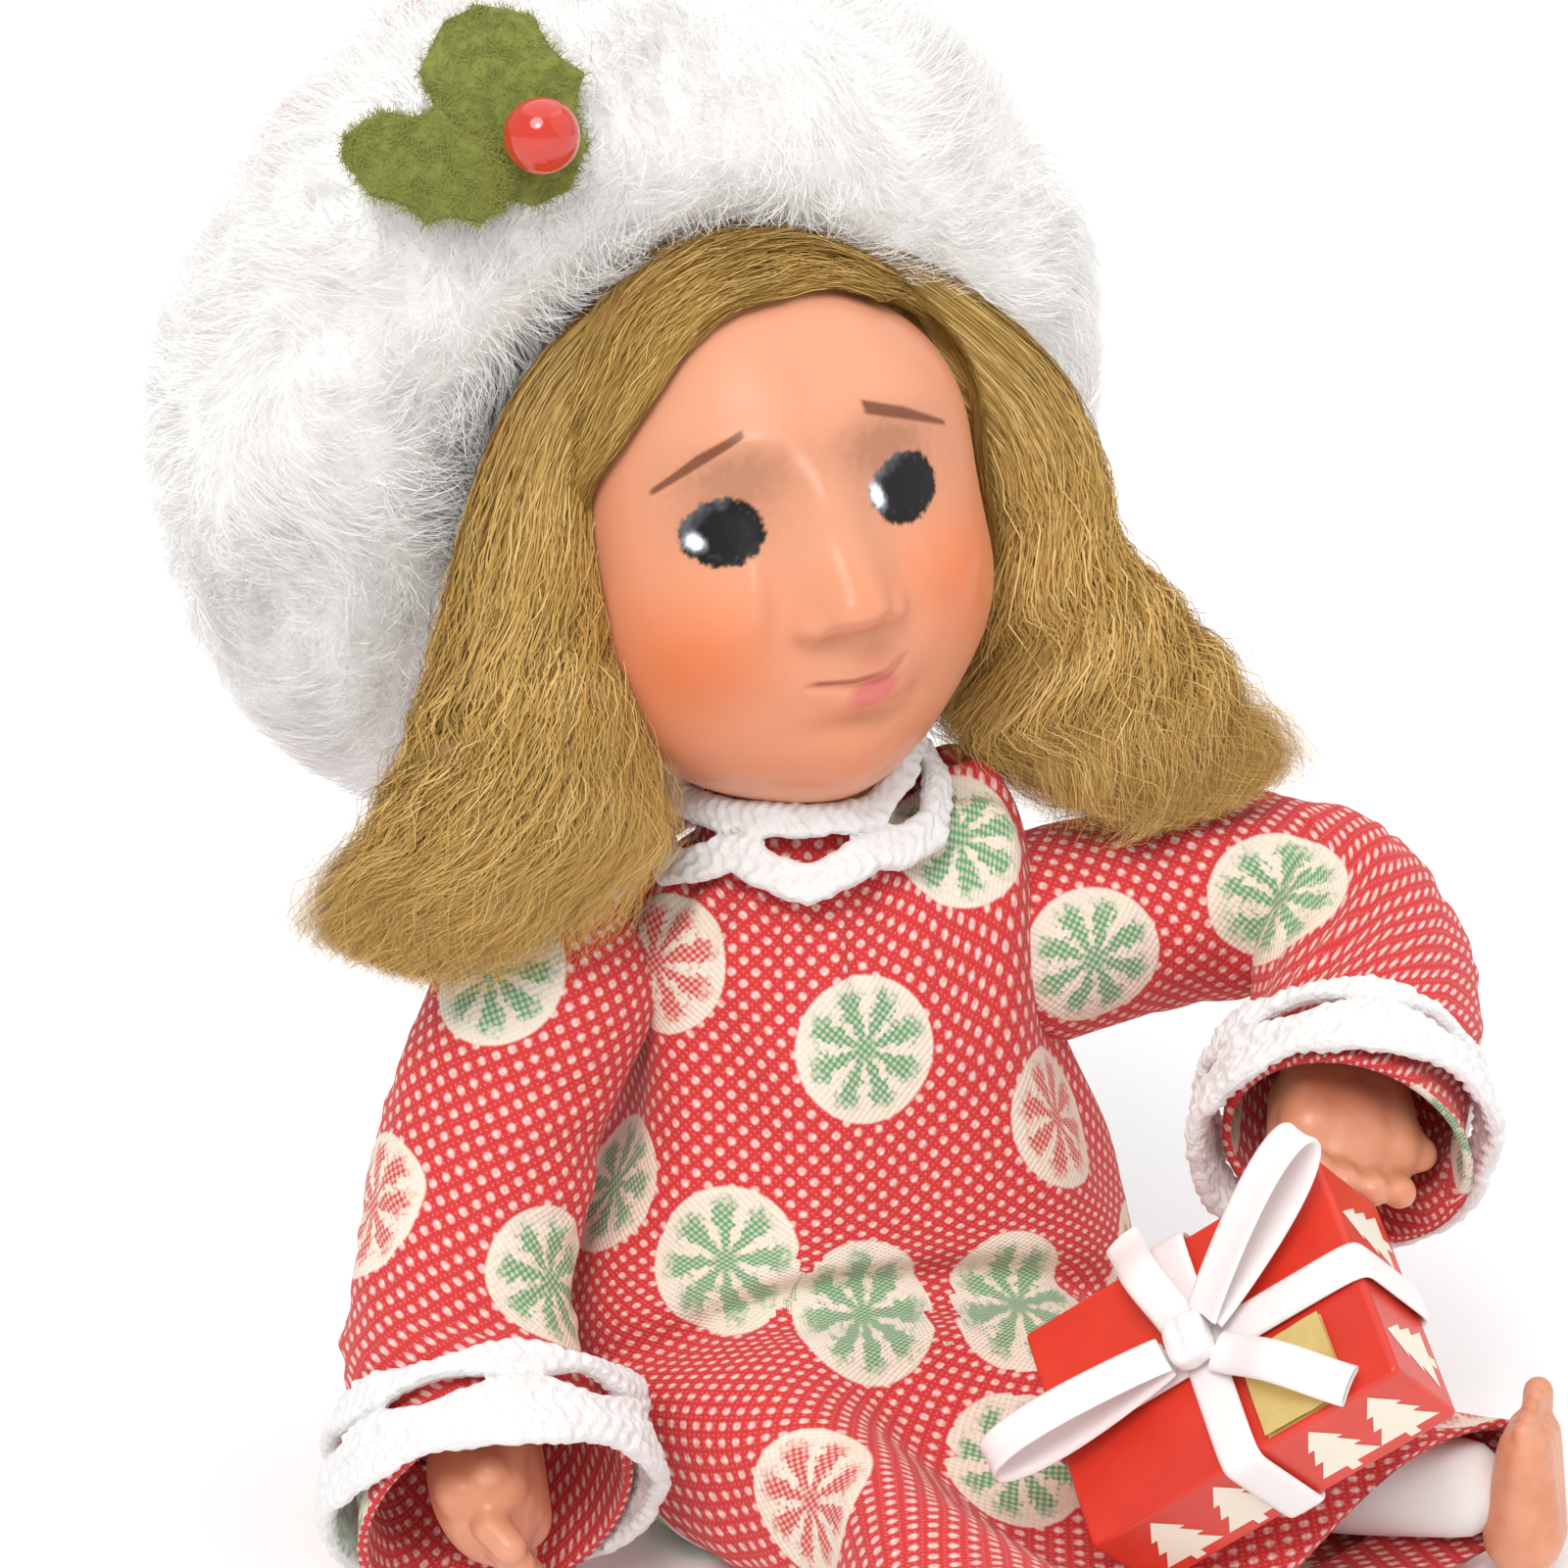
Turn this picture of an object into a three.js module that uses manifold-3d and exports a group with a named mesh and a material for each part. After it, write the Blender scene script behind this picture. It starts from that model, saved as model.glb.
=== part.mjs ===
// A seated child caroler doll: a wire armature padded with paper, a clay head, hands and feet,
// a cotton nightgown with crochet lace, a mohair wig, a fur-brimmed hat and a wrapped gift.
// Millimetres, +Z up. The figure faces -Y, its left side is +X, and z = 0 is the floor it sits on.
import * as THREE from 'three';
import { mergeVertices } from 'three/addons/utils/BufferGeometryUtils.js';
import Module from 'manifold-3d';

const wasm = await Module();
wasm.setup();
const { Manifold, Mesh: SolidMesh } = wasm;

// Gaps and walls shared by all pieces.
const CLEARANCE = 0.35;
const CLOTH_WALL = 0.9;
const PADDING_GAP = 0.8;

// Armature wire.
const WIRE_RADIUS = 1.0;
const WIRE_FACETS = 6;
const WIRE_STOP_RADIUS = 1.85;
const EYE_RADIUS = 2.5;
const EYE_WIRE_RADIUS = 0.8;
const NECK_POST_TOP = 78;
const HIP_WIRE_HEIGHT = 7.2;

// Shoulders, where each arm turns on the crossbar.
const SHOULDER_X = 22.5;
const SHOULDER_Z = 47.5;
const SLEEVE_HEAD_RADIUS = 9.3;
const ARMHOLE_RADIUS = 5.2;
const CROSSBAR_REACH = 3.2;

// Gown.
const NECK_EDGE_Z = 58.5;
const NECK_EDGE_RADIUS = 8.6;
const GOWN_STEPS_AROUND = 28;
const GOWN_STEPS_DOWN = 14;
const GATHER_COUNT = 7;
const GATHER_DEPTH = 0.035;
const TORSO_PADDING_FIRST_ROW = 1;
const TORSO_PADDING_LAST_ROW = 10;

// Arms. Each sleeve is a ball at the shoulder, a ball at the elbow and a flared cuff.
const RIGHT_ELBOW = new THREE.Vector3(-31.5, -5, 26);
const RIGHT_CUFF = new THREE.Vector3(-33.5, -19, 13.5);
const LEFT_ELBOW = new THREE.Vector3(46.5, -6, 49.2);
const LEFT_CUFF = new THREE.Vector3(38, -28, 38);
const ELBOW_RADIUS = 9;
const CREASE_STEP = 0.3;
const RIGHT_CUFF_RADIUS = 11.2;
const LEFT_CUFF_RADIUS = 10;
const ARM_PADDING_SETBACK = 5;
const CUFF_LACE_WIDTH = 8;
const CUFF_LACE_FLARE = 1.2;
const LACE_THICKNESS = 1.0;
const LACE_OVERLAP = 4.5;

// Hands.
const HAND_LENGTH = 17;
const PALM_WIDTH = 9.8;
const PALM_DEPTH = 6.2;
const FINGER_RADIUS = 1.6;

// Legs and feet.
const RIGHT_HIP = new THREE.Vector3(-4.5, -9, HIP_WIRE_HEIGHT);
const LEFT_HIP = new THREE.Vector3(10, -7, HIP_WIRE_HEIGHT);
const RIGHT_LEG_TURN = 0;
const LEFT_LEG_TURN = 50;
const LEG_LENGTH = 49;
// The hem stops this far short of the legs' length, in front and beside the left leg.
const HEM_SETBACK = 2;
const HEM_SIDE_SETBACK = 12;
const LEG_PADDING_START = 22;
const THIGH_RADIUS = 5.4;
const SHIN_RADIUS = 4.2;
const FOOT_HEIGHT = 17;
const FOOT_WIDTH = 8.4;
const FOOT_DEPTH = 7.4;
const FOOT_FLOOR_GAP = 0.6;

// Head.
const HEAD_HALF_WIDTH = 16.6;
const HEAD_HALF_DEPTH = 18.4;
const HEAD_HALF_HEIGHT = 23.2;
// The chin rests this high, just inside the collar, and the head stands on it.
const CHIN_HEIGHT = 62.2;
const HEAD_CENTRE = new THREE.Vector3(-3, -1, CHIN_HEIGHT + HEAD_HALF_HEIGHT);
const HEAD_ROLL = -10;
const HEAD_YAW = -1.5;
const HEAD_PITCH = -4;
const HEAD_STEPS_AROUND = 32;
const HEAD_STEPS_DOWN = 22;
const NECK_RADIUS = 6.6;
const NECK_BOTTOM_Z = 59.2;
const HAIR_CAP_THICKNESS = 2.2;

// Hat.
const HAT_AXIS = new THREE.Vector3(-0.03, 0.95, 0.3);
const BRIM_RING_RADIUS = 27;
const BRIM_ROLL_RADIUS = 14.9;
const BRIM_STEPS_AROUND = 30;
const BRIM_STEPS_ROLL = 12;
const CROWN_BULGE = 32;
const CROWN_HEIGHT = 34;
const CROWN_GATHERS = 11;
const CROWN_GATHER_DEPTH = 0.022;
const BERRY_RADIUS = 3;
const LEAF_THICKNESS = 1;
const LARGE_LEAF_LENGTH = 18;
const LARGE_LEAF_WIDTH = 13;
const SMALL_LEAF_LENGTH = 14;
const SMALL_LEAF_WIDTH = 9;

// Collar lace.
const COLLAR_TOP = [9.4, 63.4];
const COLLAR_EDGE = [13.3, 56.6];
const COLLAR_MOTIFS = 10;

// The hat hangs behind the head, its lower roll clear of the collar whatever the thickness of the fur.
const HAT_RISE = 15.1;
const HAT_CENTRE = new THREE.Vector3(-8.8, 17, COLLAR_TOP[1] + BRIM_ROLL_RADIUS + HAT_RISE);

// Gift.
const GIFT_LENGTH = 29;
const GIFT_WIDTH = 21;
const GIFT_DEPTH = 10;
const GIFT_KNOT = new THREE.Vector3(18.4, -43.5, 25.7);
const GIFT_ALONG = new THREE.Vector3(0.682, -0.435, 0.588);
const GIFT_ACROSS = new THREE.Vector3(-0.071, -0.839, -0.54);
const RIBBON_WIDTH = 3.4;
const RIBBON_THICKNESS = 0.5;
const BOW_LOOP_LENGTH = 16;
const BOW_LOOP_HEIGHT = 5;
const BOW_LOOP_TILT = 0.18;
const BOW_TAIL_LENGTH = 13;
const FOIL_SIZE = 7.5;
const FOIL_THICKNESS = 0.4;

// The head turns by this many degrees to either side.
const NECK_TURN = 12;
// Hair that passes over the shoulders stays this far above them.
const HAIR_SWEEP_GAP = 0.7;
// Each arm lifts forward by this many degrees, and the hair above it clears the lifted sleeve.
const RIGHT_ARM_LIFT = 25;
const LEFT_ARM_LIFT = 20;

const RIGHT_SHOULDER = new THREE.Vector3(-SHOULDER_X, 0, SHOULDER_Z);
const LEFT_SHOULDER = new THREE.Vector3(SHOULDER_X, 0, SHOULDER_Z);
const UP = new THREE.Vector3(0, 0, 1);

const radians = THREE.MathUtils.degToRad;

function smoothBump(x, width) {
  return Math.exp(-(x * x) / (width * width));
}

function signedPower(value, power) {
  return Math.sign(value) * Math.pow(Math.abs(value), power);
}

// Closed geometry from points and triangles.
function indexed(points, triangles) {
  const geometry = new THREE.BufferGeometry();
  const flat = points.flatMap((point) => [point.x, point.y, point.z]);
  geometry.setAttribute('position', new THREE.Float32BufferAttribute(flat, 3));
  geometry.setIndex(triangles);
  return geometry;
}

function middle(points) {
  const sum = new THREE.Vector3();
  points.forEach((point) => sum.add(point));
  return sum.divideScalar(points.length);
}

function solidOf(geometry) {
  const bare = new THREE.BufferGeometry();
  bare.setAttribute('position', geometry.getAttribute('position').clone());
  if (geometry.index) bare.setIndex(geometry.index.clone());
  const merged = mergeVertices(bare, 1e-4);
  const solid = new Manifold(new SolidMesh({
    numProp: 3,
    vertProperties: new Float32Array(merged.getAttribute('position').array),
    triVerts: new Uint32Array(merged.index.array),
  }));
  return solid.volume() < 0 ? turnedOut(merged) : solid;
}

// The same closed surface with its faces turned to point out.
function turnedOut(geometry) {
  const order = Array.from(geometry.index.array);
  for (let i = 0; i < order.length; i += 3) {
    [order[i + 1], order[i + 2]] = [order[i + 2], order[i + 1]];
  }
  return new Manifold(new SolidMesh({
    numProp: 3,
    vertProperties: new Float32Array(geometry.getAttribute('position').array),
    triVerts: new Uint32Array(order),
  }));
}

function geometryOf(solid) {
  const mesh = solid.getMesh();
  const geometry = new THREE.BufferGeometry();
  const points = new Float32Array(mesh.numVert * 3);
  for (let i = 0; i < mesh.numVert; i += 1) {
    for (let axis = 0; axis < 3; axis += 1) {
      points[i * 3 + axis] = mesh.vertProperties[i * mesh.numProp + axis];
    }
  }
  geometry.setAttribute('position', new THREE.BufferAttribute(points, 3));
  geometry.setIndex(new THREE.BufferAttribute(new Uint32Array(mesh.triVerts), 1));
  return geometry;
}

function joined(solids) {
  return solids.reduce((sum, solid) => sum.add(solid));
}

function cutBy(solid, cutters) {
  return cutters.reduce((rest, cutter) => rest.subtract(cutter), solid);
}

// The largest of the separate lumps that a cut may leave.
function mainLump(solid) {
  const lumps = solid.decompose();
  return lumps.reduce((best, lump) => (lump.volume() > best.volume() ? lump : best));
}

// A solid through a row of closed rings, with flat ends.
function loft(rings) {
  const count = rings[0].length;
  const points = rings.flat();
  const triangles = [];
  for (let row = 0; row + 1 < rings.length; row += 1) {
    for (let i = 0; i < count; i += 1) {
      const a = row * count + i;
      const b = row * count + ((i + 1) % count);
      triangles.push(a, b, a + count, b, b + count, a + count);
    }
  }
  const first = points.length;
  points.push(middle(rings[0]), middle(rings[rings.length - 1]));
  const last = (rings.length - 1) * count;
  for (let i = 0; i < count; i += 1) {
    const next = (i + 1) % count;
    triangles.push(first, next, i, first + 1, last + i, last + next);
  }
  return solidOf(indexed(points, triangles));
}

// A wall between two rows of rings that match ring for ring, open at both ends.
function shell(outer, inner) {
  const count = outer[0].length;
  const rows = outer.length;
  const points = outer.flat().concat(inner.flat());
  const triangles = [];
  const offset = rows * count;
  for (let row = 0; row + 1 < rows; row += 1) {
    for (let i = 0; i < count; i += 1) {
      const a = row * count + i;
      const b = row * count + ((i + 1) % count);
      triangles.push(a, b, a + count, b, b + count, a + count);
      triangles.push(offset + a, offset + a + count, offset + b);
      triangles.push(offset + b, offset + a + count, offset + b + count);
    }
  }
  const last = (rows - 1) * count;
  for (let i = 0; i < count; i += 1) {
    const next = (i + 1) % count;
    triangles.push(i, offset + i, next, next, offset + i, offset + next);
    triangles.push(last + i, last + next, offset + last + i);
    triangles.push(last + next, offset + last + next, offset + last + i);
  }
  return solidOf(indexed(points, triangles));
}

// Two directions square to an axis.
function sideDirections(axis) {
  const helper = Math.abs(axis.z) < 0.9 ? UP : new THREE.Vector3(1, 0, 0);
  const first = new THREE.Vector3().crossVectors(helper, axis).normalize();
  const second = new THREE.Vector3().crossVectors(axis, first).normalize();
  return [first, second];
}

function circleRing(centre, first, second, radius, count) {
  const ring = [];
  for (let i = 0; i < count; i += 1) {
    const angle = (i / count) * 2 * Math.PI;
    const point = centre.clone().addScaledVector(first, radius * Math.cos(angle));
    ring.push(point.addScaledVector(second, radius * Math.sin(angle)));
  }
  return ring;
}

// A tapered limb from one centre to another: rounded at the start, rounded or flat at the end.
function limb(start, end, startRadius, endRadius, roundEnd, count, roundStart = true) {
  const axis = end.clone().sub(start);
  const length = axis.length();
  axis.normalize();
  const [first, second] = sideDirections(axis);
  const rings = [];
  const place = (along, radius) => {
    const centre = start.clone().addScaledVector(axis, along);
    rings.push(circleRing(centre, first, second, radius, count));
  };
  const steps = 3;
  if (roundStart) {
    for (let i = 0; i < steps; i += 1) {
      const angle = ((i + 0.35) / steps) * (Math.PI / 2);
      place(-startRadius * Math.cos(angle), startRadius * Math.sin(angle));
    }
  }
  place(0, startRadius);
  place(length * 0.5, (startRadius + endRadius) / 2);
  place(length, endRadius);
  if (roundEnd) {
    for (let i = steps - 1; i >= 0; i -= 1) {
      const angle = ((i + 0.35) / steps) * (Math.PI / 2);
      place(length + endRadius * Math.cos(angle), endRadius * Math.sin(angle));
    }
  }
  return loft(rings);
}

// A round wire along a path.
function wire(points, radius, steps) {
  const circle = new THREE.Shape();
  circle.absarc(0, 0, radius, 0, 2 * Math.PI, false);
  const path = points.length === 2
    ? new THREE.LineCurve3(points[0], points[1])
    : new THREE.CatmullRomCurve3(points, false, 'centripetal');
  const geometry = new THREE.ExtrudeGeometry(circle, {
    steps,
    curveSegments: WIRE_FACETS / 2,
    extrudePath: path,
    bevelEnabled: false,
  });
  return solidOf(geometry);
}

function ball(centre, radius, around = 20, down = 12) {
  const geometry = new THREE.SphereGeometry(radius, around, down);
  geometry.translate(centre.x, centre.y, centre.z);
  return solidOf(geometry);
}

function upright(radius, low, high, count = 20) {
  return limb(
    new THREE.Vector3(0, 0, low),
    new THREE.Vector3(0, 0, high),
    radius,
    radius,
    false,
    count,
    false,
  );
}

// A thin sheet over a grid of cells. The surface gives a point and its outward direction.
// Cells that the keep test drops become holes.
function sheet(surface, across, down, thickness, wraps, keep) {
  const columns = wraps ? across : across + 1;
  const points = [];
  for (let row = 0; row <= down; row += 1) {
    for (let column = 0; column < columns; column += 1) {
      const [point, out] = surface(column / across, row / down);
      points.push(point.clone().addScaledVector(out, thickness / 2));
      points.push(point.clone().addScaledVector(out, -thickness / 2));
    }
  }
  const at = (column, row) => 2 * (row * columns + (column % columns));
  const kept = (column, row) => {
    if (row < 0 || row >= down) return false;
    if (!wraps && (column < 0 || column >= across)) return false;
    return keep((column + across) % across, row);
  };
  const triangles = [];
  const wall = (a, b) => triangles.push(a, a + 1, b, b, a + 1, b + 1);
  for (let row = 0; row < down; row += 1) {
    for (let column = 0; column < across; column += 1) {
      if (!kept(column, row)) continue;
      const a = at(column, row);
      const b = at(column + 1, row);
      const c = at(column + 1, row + 1);
      const d = at(column, row + 1);
      triangles.push(a, b, c, a, c, d);
      triangles.push(a + 1, c + 1, b + 1, a + 1, d + 1, c + 1);
      if (!kept(column, row - 1)) wall(a, b);
      if (!kept(column + 1, row)) wall(b, c);
      if (!kept(column, row + 1)) wall(c, d);
      if (!kept(column - 1, row)) wall(d, a);
    }
  }
  return solidOf(indexed(points, triangles));
}

// A crochet band: three rows of cells whose middle row is open in pairs, with a scalloped edge.
function laceBand(surface, motifs, thickness) {
  const cellsPerMotif = 3;
  const keep = (column, row) => row !== 1 || column % cellsPerMotif === 2;
  return sheet(surface, motifs * cellsPerMotif, 3, thickness, true, keep);
}

const materialOf = (colour, roughness, metalness = 0) =>
  new THREE.MeshStandardMaterial({ color: colour, roughness, metalness });

const materials = {
  wire: materialOf('#8c8f92', 0.4, 1),
  paper: materialOf('#e7e0d2', 0.95),
  clay: materialOf('#c98058', 0.45),
  cotton: materialOf('#c8322f', 0.85),
  lace: materialOf('#f4f2ee', 0.9),
  hair: materialOf('#b98f45', 0.6),
  fur: materialOf('#f5f3f1', 0.95),
  felt: materialOf('#5d6f1f', 0.95),
  bead: materialOf('#d3301c', 0.15),
  carton: materialOf('#e5341c', 0.45),
  ribbon: materialOf('#f3eeee', 0.35),
  foil: materialOf('#c9a43a', 0.3, 1),
};

const figure = new THREE.Group();
const headGroup = new THREE.Group();
const hatGroup = new THREE.Group();
const giftGroup = new THREE.Group();
figure.add(headGroup, hatGroup, giftGroup);

function addMesh(group, name, solid, material) {
  const mesh = new THREE.Mesh(geometryOf(solid), material);
  mesh.name = name;
  group.add(mesh);
  return mesh;
}

// The gown is one bent tube: down from the neck, round the seat and out over the two legs.
// Each key ring has its centre, the lean and turn of its plane in degrees, its reach to the
// right, left, front and back, how square it is, and how far it sags between the legs.
const gownRings = [
  { at: [0, 0.5, NECK_EDGE_Z], lean: 0, turn: 0, right: NECK_EDGE_RADIUS, left: NECK_EDGE_RADIUS,
    front: NECK_EDGE_RADIUS, back: NECK_EDGE_RADIUS, square: 2, sag: 0 },
  { at: [0, 0.5, 55.4], lean: 0, turn: 0, right: 13, left: 13, front: 10.6, back: 10.6, square: 2, sag: 0 },
  { at: [0, 0.5, 51], lean: 0, turn: 0, right: 16.4, left: 17.4, front: 12.6, back: 12, square: 2.1, sag: 0 },
  { at: [0, 0.5, 44], lean: 0, turn: 0, right: 15, left: 21.4, front: 14.2, back: 13.5, square: 2.1, sag: 0 },
  { at: [0, 0.5, 36], lean: 0, turn: 0, right: 15.2, left: 25, front: 15.6, back: 15.5, square: 2.1, sag: 0 },
  { at: [0, 0.5, 29], lean: 2, turn: 0, right: 18.3, left: 28, front: 17, back: 17.4, square: 2.2, sag: 0 },
  { at: [0, 0, 23.5], lean: 10, turn: 0, right: 21.2, left: 29.4, front: 17.4, back: 19.6, square: 2.3, sag: 0 },
  { at: [0, -5.6, 14.3], lean: 32, turn: 0, right: 22.4, left: 29.2, front: 14.5, back: 25.5, square: 2.5, sag: 0 },
  { at: [0.4, -13, 11.2], lean: 52, turn: 2, right: 19.4, left: 29.2, front: 12, back: 17, square: 2.6, sag: 0.1 },
  { at: [1, -20.4, 9], lean: 70, turn: 6, right: 15.5, left: 29.6, front: 10.6, back: 11.5, square: 2.8, sag: 0.42 },
  { at: [5, -28.5, 8.2], lean: 84, turn: 11, right: 15.5, left: 31.5, front: 9.2, back: 9, square: 3, sag: 0.9 },
  { at: [11, -37.5, 8], lean: 90, turn: 15, right: 22, left: 34, front: 8.5, back: 8.6, square: 3, sag: 1.3 },
  { at: [18, HEM_SETBACK - LEG_LENGTH, 7.6], lean: 90, turn: 17, right: 30, left: LEG_LENGTH - HEM_SIDE_SETBACK,
    front: 8, back: 8.2, square: 3, sag: 1.5 },
];
const gownNumbers = ['lean', 'turn', 'right', 'left', 'front', 'back', 'square', 'sag'];

// A smooth value between the key rings.
function betweenRings(share, pick) {
  const place = share * (gownRings.length - 1);
  const i = Math.min(Math.floor(place), gownRings.length - 2);
  const t = place - i;
  const value = (n) => pick(gownRings[THREE.MathUtils.clamp(n, 0, gownRings.length - 1)]);
  const [p0, p1, p2, p3] = [value(i - 1), value(i), value(i + 1), value(i + 2)];
  const slopeIn = (p2 - p0) / 2;
  const slopeOut = (p3 - p1) / 2;
  const t2 = t * t;
  const t3 = t2 * t;
  return (2 * t3 - 3 * t2 + 1) * p1 + (t3 - 2 * t2 + t) * slopeIn
    + (3 * t2 - 2 * t3) * p2 + (t3 - t2) * slopeOut;
}

// One ring of the gown, moved inwards by an inset.
function gownRing(share, inset) {
  const ring = {};
  gownNumbers.forEach((name) => {
    ring[name] = betweenRings(share, (key) => key[name]);
  });
  const centre = new THREE.Vector3(
    betweenRings(share, (key) => key.at[0]),
    betweenRings(share, (key) => key.at[1]),
    betweenRings(share, (key) => key.at[2]),
  );
  const turn = radians(ring.turn);
  const lean = radians(ring.lean);
  const side = new THREE.Vector3(Math.cos(turn), Math.sin(turn), 0);
  const ahead = new THREE.Vector3(Math.sin(turn), -Math.cos(turn), 0);
  const front = ahead.clone().multiplyScalar(Math.cos(lean)).addScaledVector(UP, Math.sin(lean));
  const gathers = smoothBump(share - 0.3, 0.22);
  const points = [];
  for (let i = 0; i < GOWN_STEPS_AROUND; i += 1) {
    const angle = (i / GOWN_STEPS_AROUND) * 2 * Math.PI;
    const power = 2 / ring.square;
    const across = signedPower(Math.cos(angle), power);
    const along = signedPower(Math.sin(angle), power);
    const fold = 1 + gathers * GATHER_DEPTH * Math.cos(GATHER_COUNT * angle);
    const width = (across > 0 ? ring.left : ring.right) * fold - inset;
    const sag = 1 - ring.sag * smoothBump(across, 0.46);
    const depth = along > 0 ? ring.front * fold * sag - inset : ring.back * fold - inset;
    const point = centre.clone().addScaledVector(side, width * across);
    point.addScaledVector(front, depth * along);
    point.z = Math.max(point.z, inset);
    points.push(point);
  }
  return points;
}

function gownRows(first, last, inset) {
  const rows = [];
  for (let row = first; row <= last; row += 1) rows.push(gownRing(row / GOWN_STEPS_DOWN, inset));
  return rows;
}

const sleeveSeat = (shoulder, gap) => ball(shoulder, SLEEVE_HEAD_RADIUS + gap, 20, 12);

const gownShell = shell(
  gownRows(0, GOWN_STEPS_DOWN, 0),
  gownRows(0, GOWN_STEPS_DOWN, CLOTH_WALL),
);
const gownRoom = shell(
  gownRows(0, GOWN_STEPS_DOWN, -CLEARANCE),
  gownRows(0, GOWN_STEPS_DOWN, CLOTH_WALL + CLEARANCE),
);
const seats = [RIGHT_SHOULDER, LEFT_SHOULDER].map((shoulder) => sleeveSeat(shoulder, CLEARANCE));
addMesh(figure, 'nightgown', mainLump(cutBy(gownShell, seats)), materials.cotton);

// Wire armature: spine with neck post, shoulder crossbar with end stops, and two leg wires.
const crossbarEnd = SHOULDER_X + CROSSBAR_REACH;
function legDirection(turn) {
  return new THREE.Vector3(Math.sin(radians(turn)), -Math.cos(radians(turn)), 0);
}
function alongLeg(hip, turn, distance) {
  return hip.clone().addScaledVector(legDirection(turn), distance);
}
function armature(extra) {
  const radius = WIRE_RADIUS + extra;
  const pieces = [
    wire([new THREE.Vector3(0, 0, HIP_WIRE_HEIGHT), new THREE.Vector3(0, 0, NECK_POST_TOP)], radius, 2),
    wire([
      new THREE.Vector3(-crossbarEnd, 0, SHOULDER_Z),
      new THREE.Vector3(crossbarEnd, 0, SHOULDER_Z),
    ], radius, 2),
  ];
  [-1, 1].forEach((side) => {
    const end = new THREE.Vector3(side * crossbarEnd, 0, SHOULDER_Z);
    pieces.push(ball(end, WIRE_STOP_RADIUS + extra, 8, 6));
  });
  [[RIGHT_HIP, RIGHT_LEG_TURN], [LEFT_HIP, LEFT_LEG_TURN]].forEach(([hip, turn]) => {
    const path = [
      new THREE.Vector3(0, 0, HIP_WIRE_HEIGHT),
      hip,
      alongLeg(hip, turn, LEG_LENGTH * 0.5),
      alongLeg(hip, turn, LEG_LENGTH),
    ];
    pieces.push(wire(path, radius, 8));
  });
  return joined(pieces);
}
addMesh(figure, 'body_wire', armature(0), materials.wire);
const wireChannel = armature(CLEARANCE);

// Paper padding of the trunk, seated in the gown.
const paddingInset = CLOTH_WALL + PADDING_GAP;
const trunk = (gap) => loft(
  gownRows(TORSO_PADDING_FIRST_ROW, TORSO_PADDING_LAST_ROW, paddingInset - gap),
);
const torsoPadding = mainLump(cutBy(trunk(0), [...seats, wireChannel]));
addMesh(figure, 'torso_padding', torsoPadding, materials.paper);

// Legs and bare clay feet.
function addLeg(side, hip, turn) {
  const start = alongLeg(hip, turn, LEG_PADDING_START);
  const ankle = alongLeg(hip, turn, LEG_LENGTH - 1);
  const padding = limb(start, ankle, THIGH_RADIUS, SHIN_RADIUS, false, 16, false);
  const padded = mainLump(cutBy(padding, [trunk(CLEARANCE), gownRoom, wireChannel]));
  addMesh(figure, 'leg_padding_' + side, padded, materials.paper);

  const ahead = legDirection(turn);
  const across = new THREE.Vector3().crossVectors(UP, ahead).normalize();
  const heelAhead = LEG_LENGTH - 1 + CLEARANCE;
  const rings = [];
  const steps = 8;
  for (let i = 0; i <= steps; i += 1) {
    const share = i / steps;
    const round = Math.sqrt(Math.max(1 - Math.pow(2 * share - 1, 4), 0.02));
    const height = FOOT_FLOOR_GAP + share * FOOT_HEIGHT;
    const thick = FOOT_DEPTH * (1 - 0.45 * share) * round;
    const wide = FOOT_WIDTH * (0.78 + 0.22 * share) * round;
    const centre = alongLeg(hip, turn, heelAhead + FOOT_DEPTH * 0.5 - 0.5 * share);
    centre.z = height;
    const ring = [];
    for (let k = 0; k < 12; k += 1) {
      const angle = (k / 12) * 2 * Math.PI;
      const point = centre.clone().addScaledVector(across, (wide / 2) * Math.cos(angle));
      ring.push(point.addScaledVector(ahead, (thick / 2) * Math.sin(angle)));
    }
    rings.push(ring);
  }
  const cutBack = limb(start, ankle.clone().addScaledVector(ahead, CLEARANCE), THIGH_RADIUS + 1,
    THIGH_RADIUS + 1, false, 16, false);
  const foot = mainLump(cutBy(loft(rings), [wireChannel, gownRoom, cutBack]));
  addMesh(figure, 'foot_' + side, foot, materials.clay);
}
addLeg('right', RIGHT_HIP, RIGHT_LEG_TURN);
addLeg('left', LEFT_HIP, LEFT_LEG_TURN);

// Collar lace round the neck, standing on the gown's shoulders.
function coneSurface(origin, axis, first, second, top, edge, motifs, scallop, waves) {
  const slope = new THREE.Vector2(edge[0] - top[0], edge[1] - top[1]).normalize();
  return (u, v) => {
    const angle = u * 2 * Math.PI;
    const tooth = v > 0.9 ? scallop * Math.cos(waves * angle) : 0;
    const radius = top[0] + (edge[0] - top[0]) * v + slope.x * tooth;
    const height = top[1] + (edge[1] - top[1]) * v + slope.y * tooth;
    const ray = first.clone().multiplyScalar(Math.cos(angle)).addScaledVector(second, Math.sin(angle));
    const point = origin.clone().addScaledVector(ray, radius).addScaledVector(axis, height);
    const out = ray.clone().multiplyScalar(-slope.y).addScaledVector(axis, slope.x);
    return [point, out.normalize()];
  };
}
const collarSurface = coneSurface(
  new THREE.Vector3(0, 0.5, 0),
  UP,
  new THREE.Vector3(1, 0, 0),
  new THREE.Vector3(0, 1, 0),
  COLLAR_TOP,
  COLLAR_EDGE,
  COLLAR_MOTIFS,
  0.8,
  COLLAR_MOTIFS,
);
addMesh(figure, 'collar_lace', laceBand(collarSurface, COLLAR_MOTIFS, LACE_THICKNESS), materials.lace);

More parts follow.
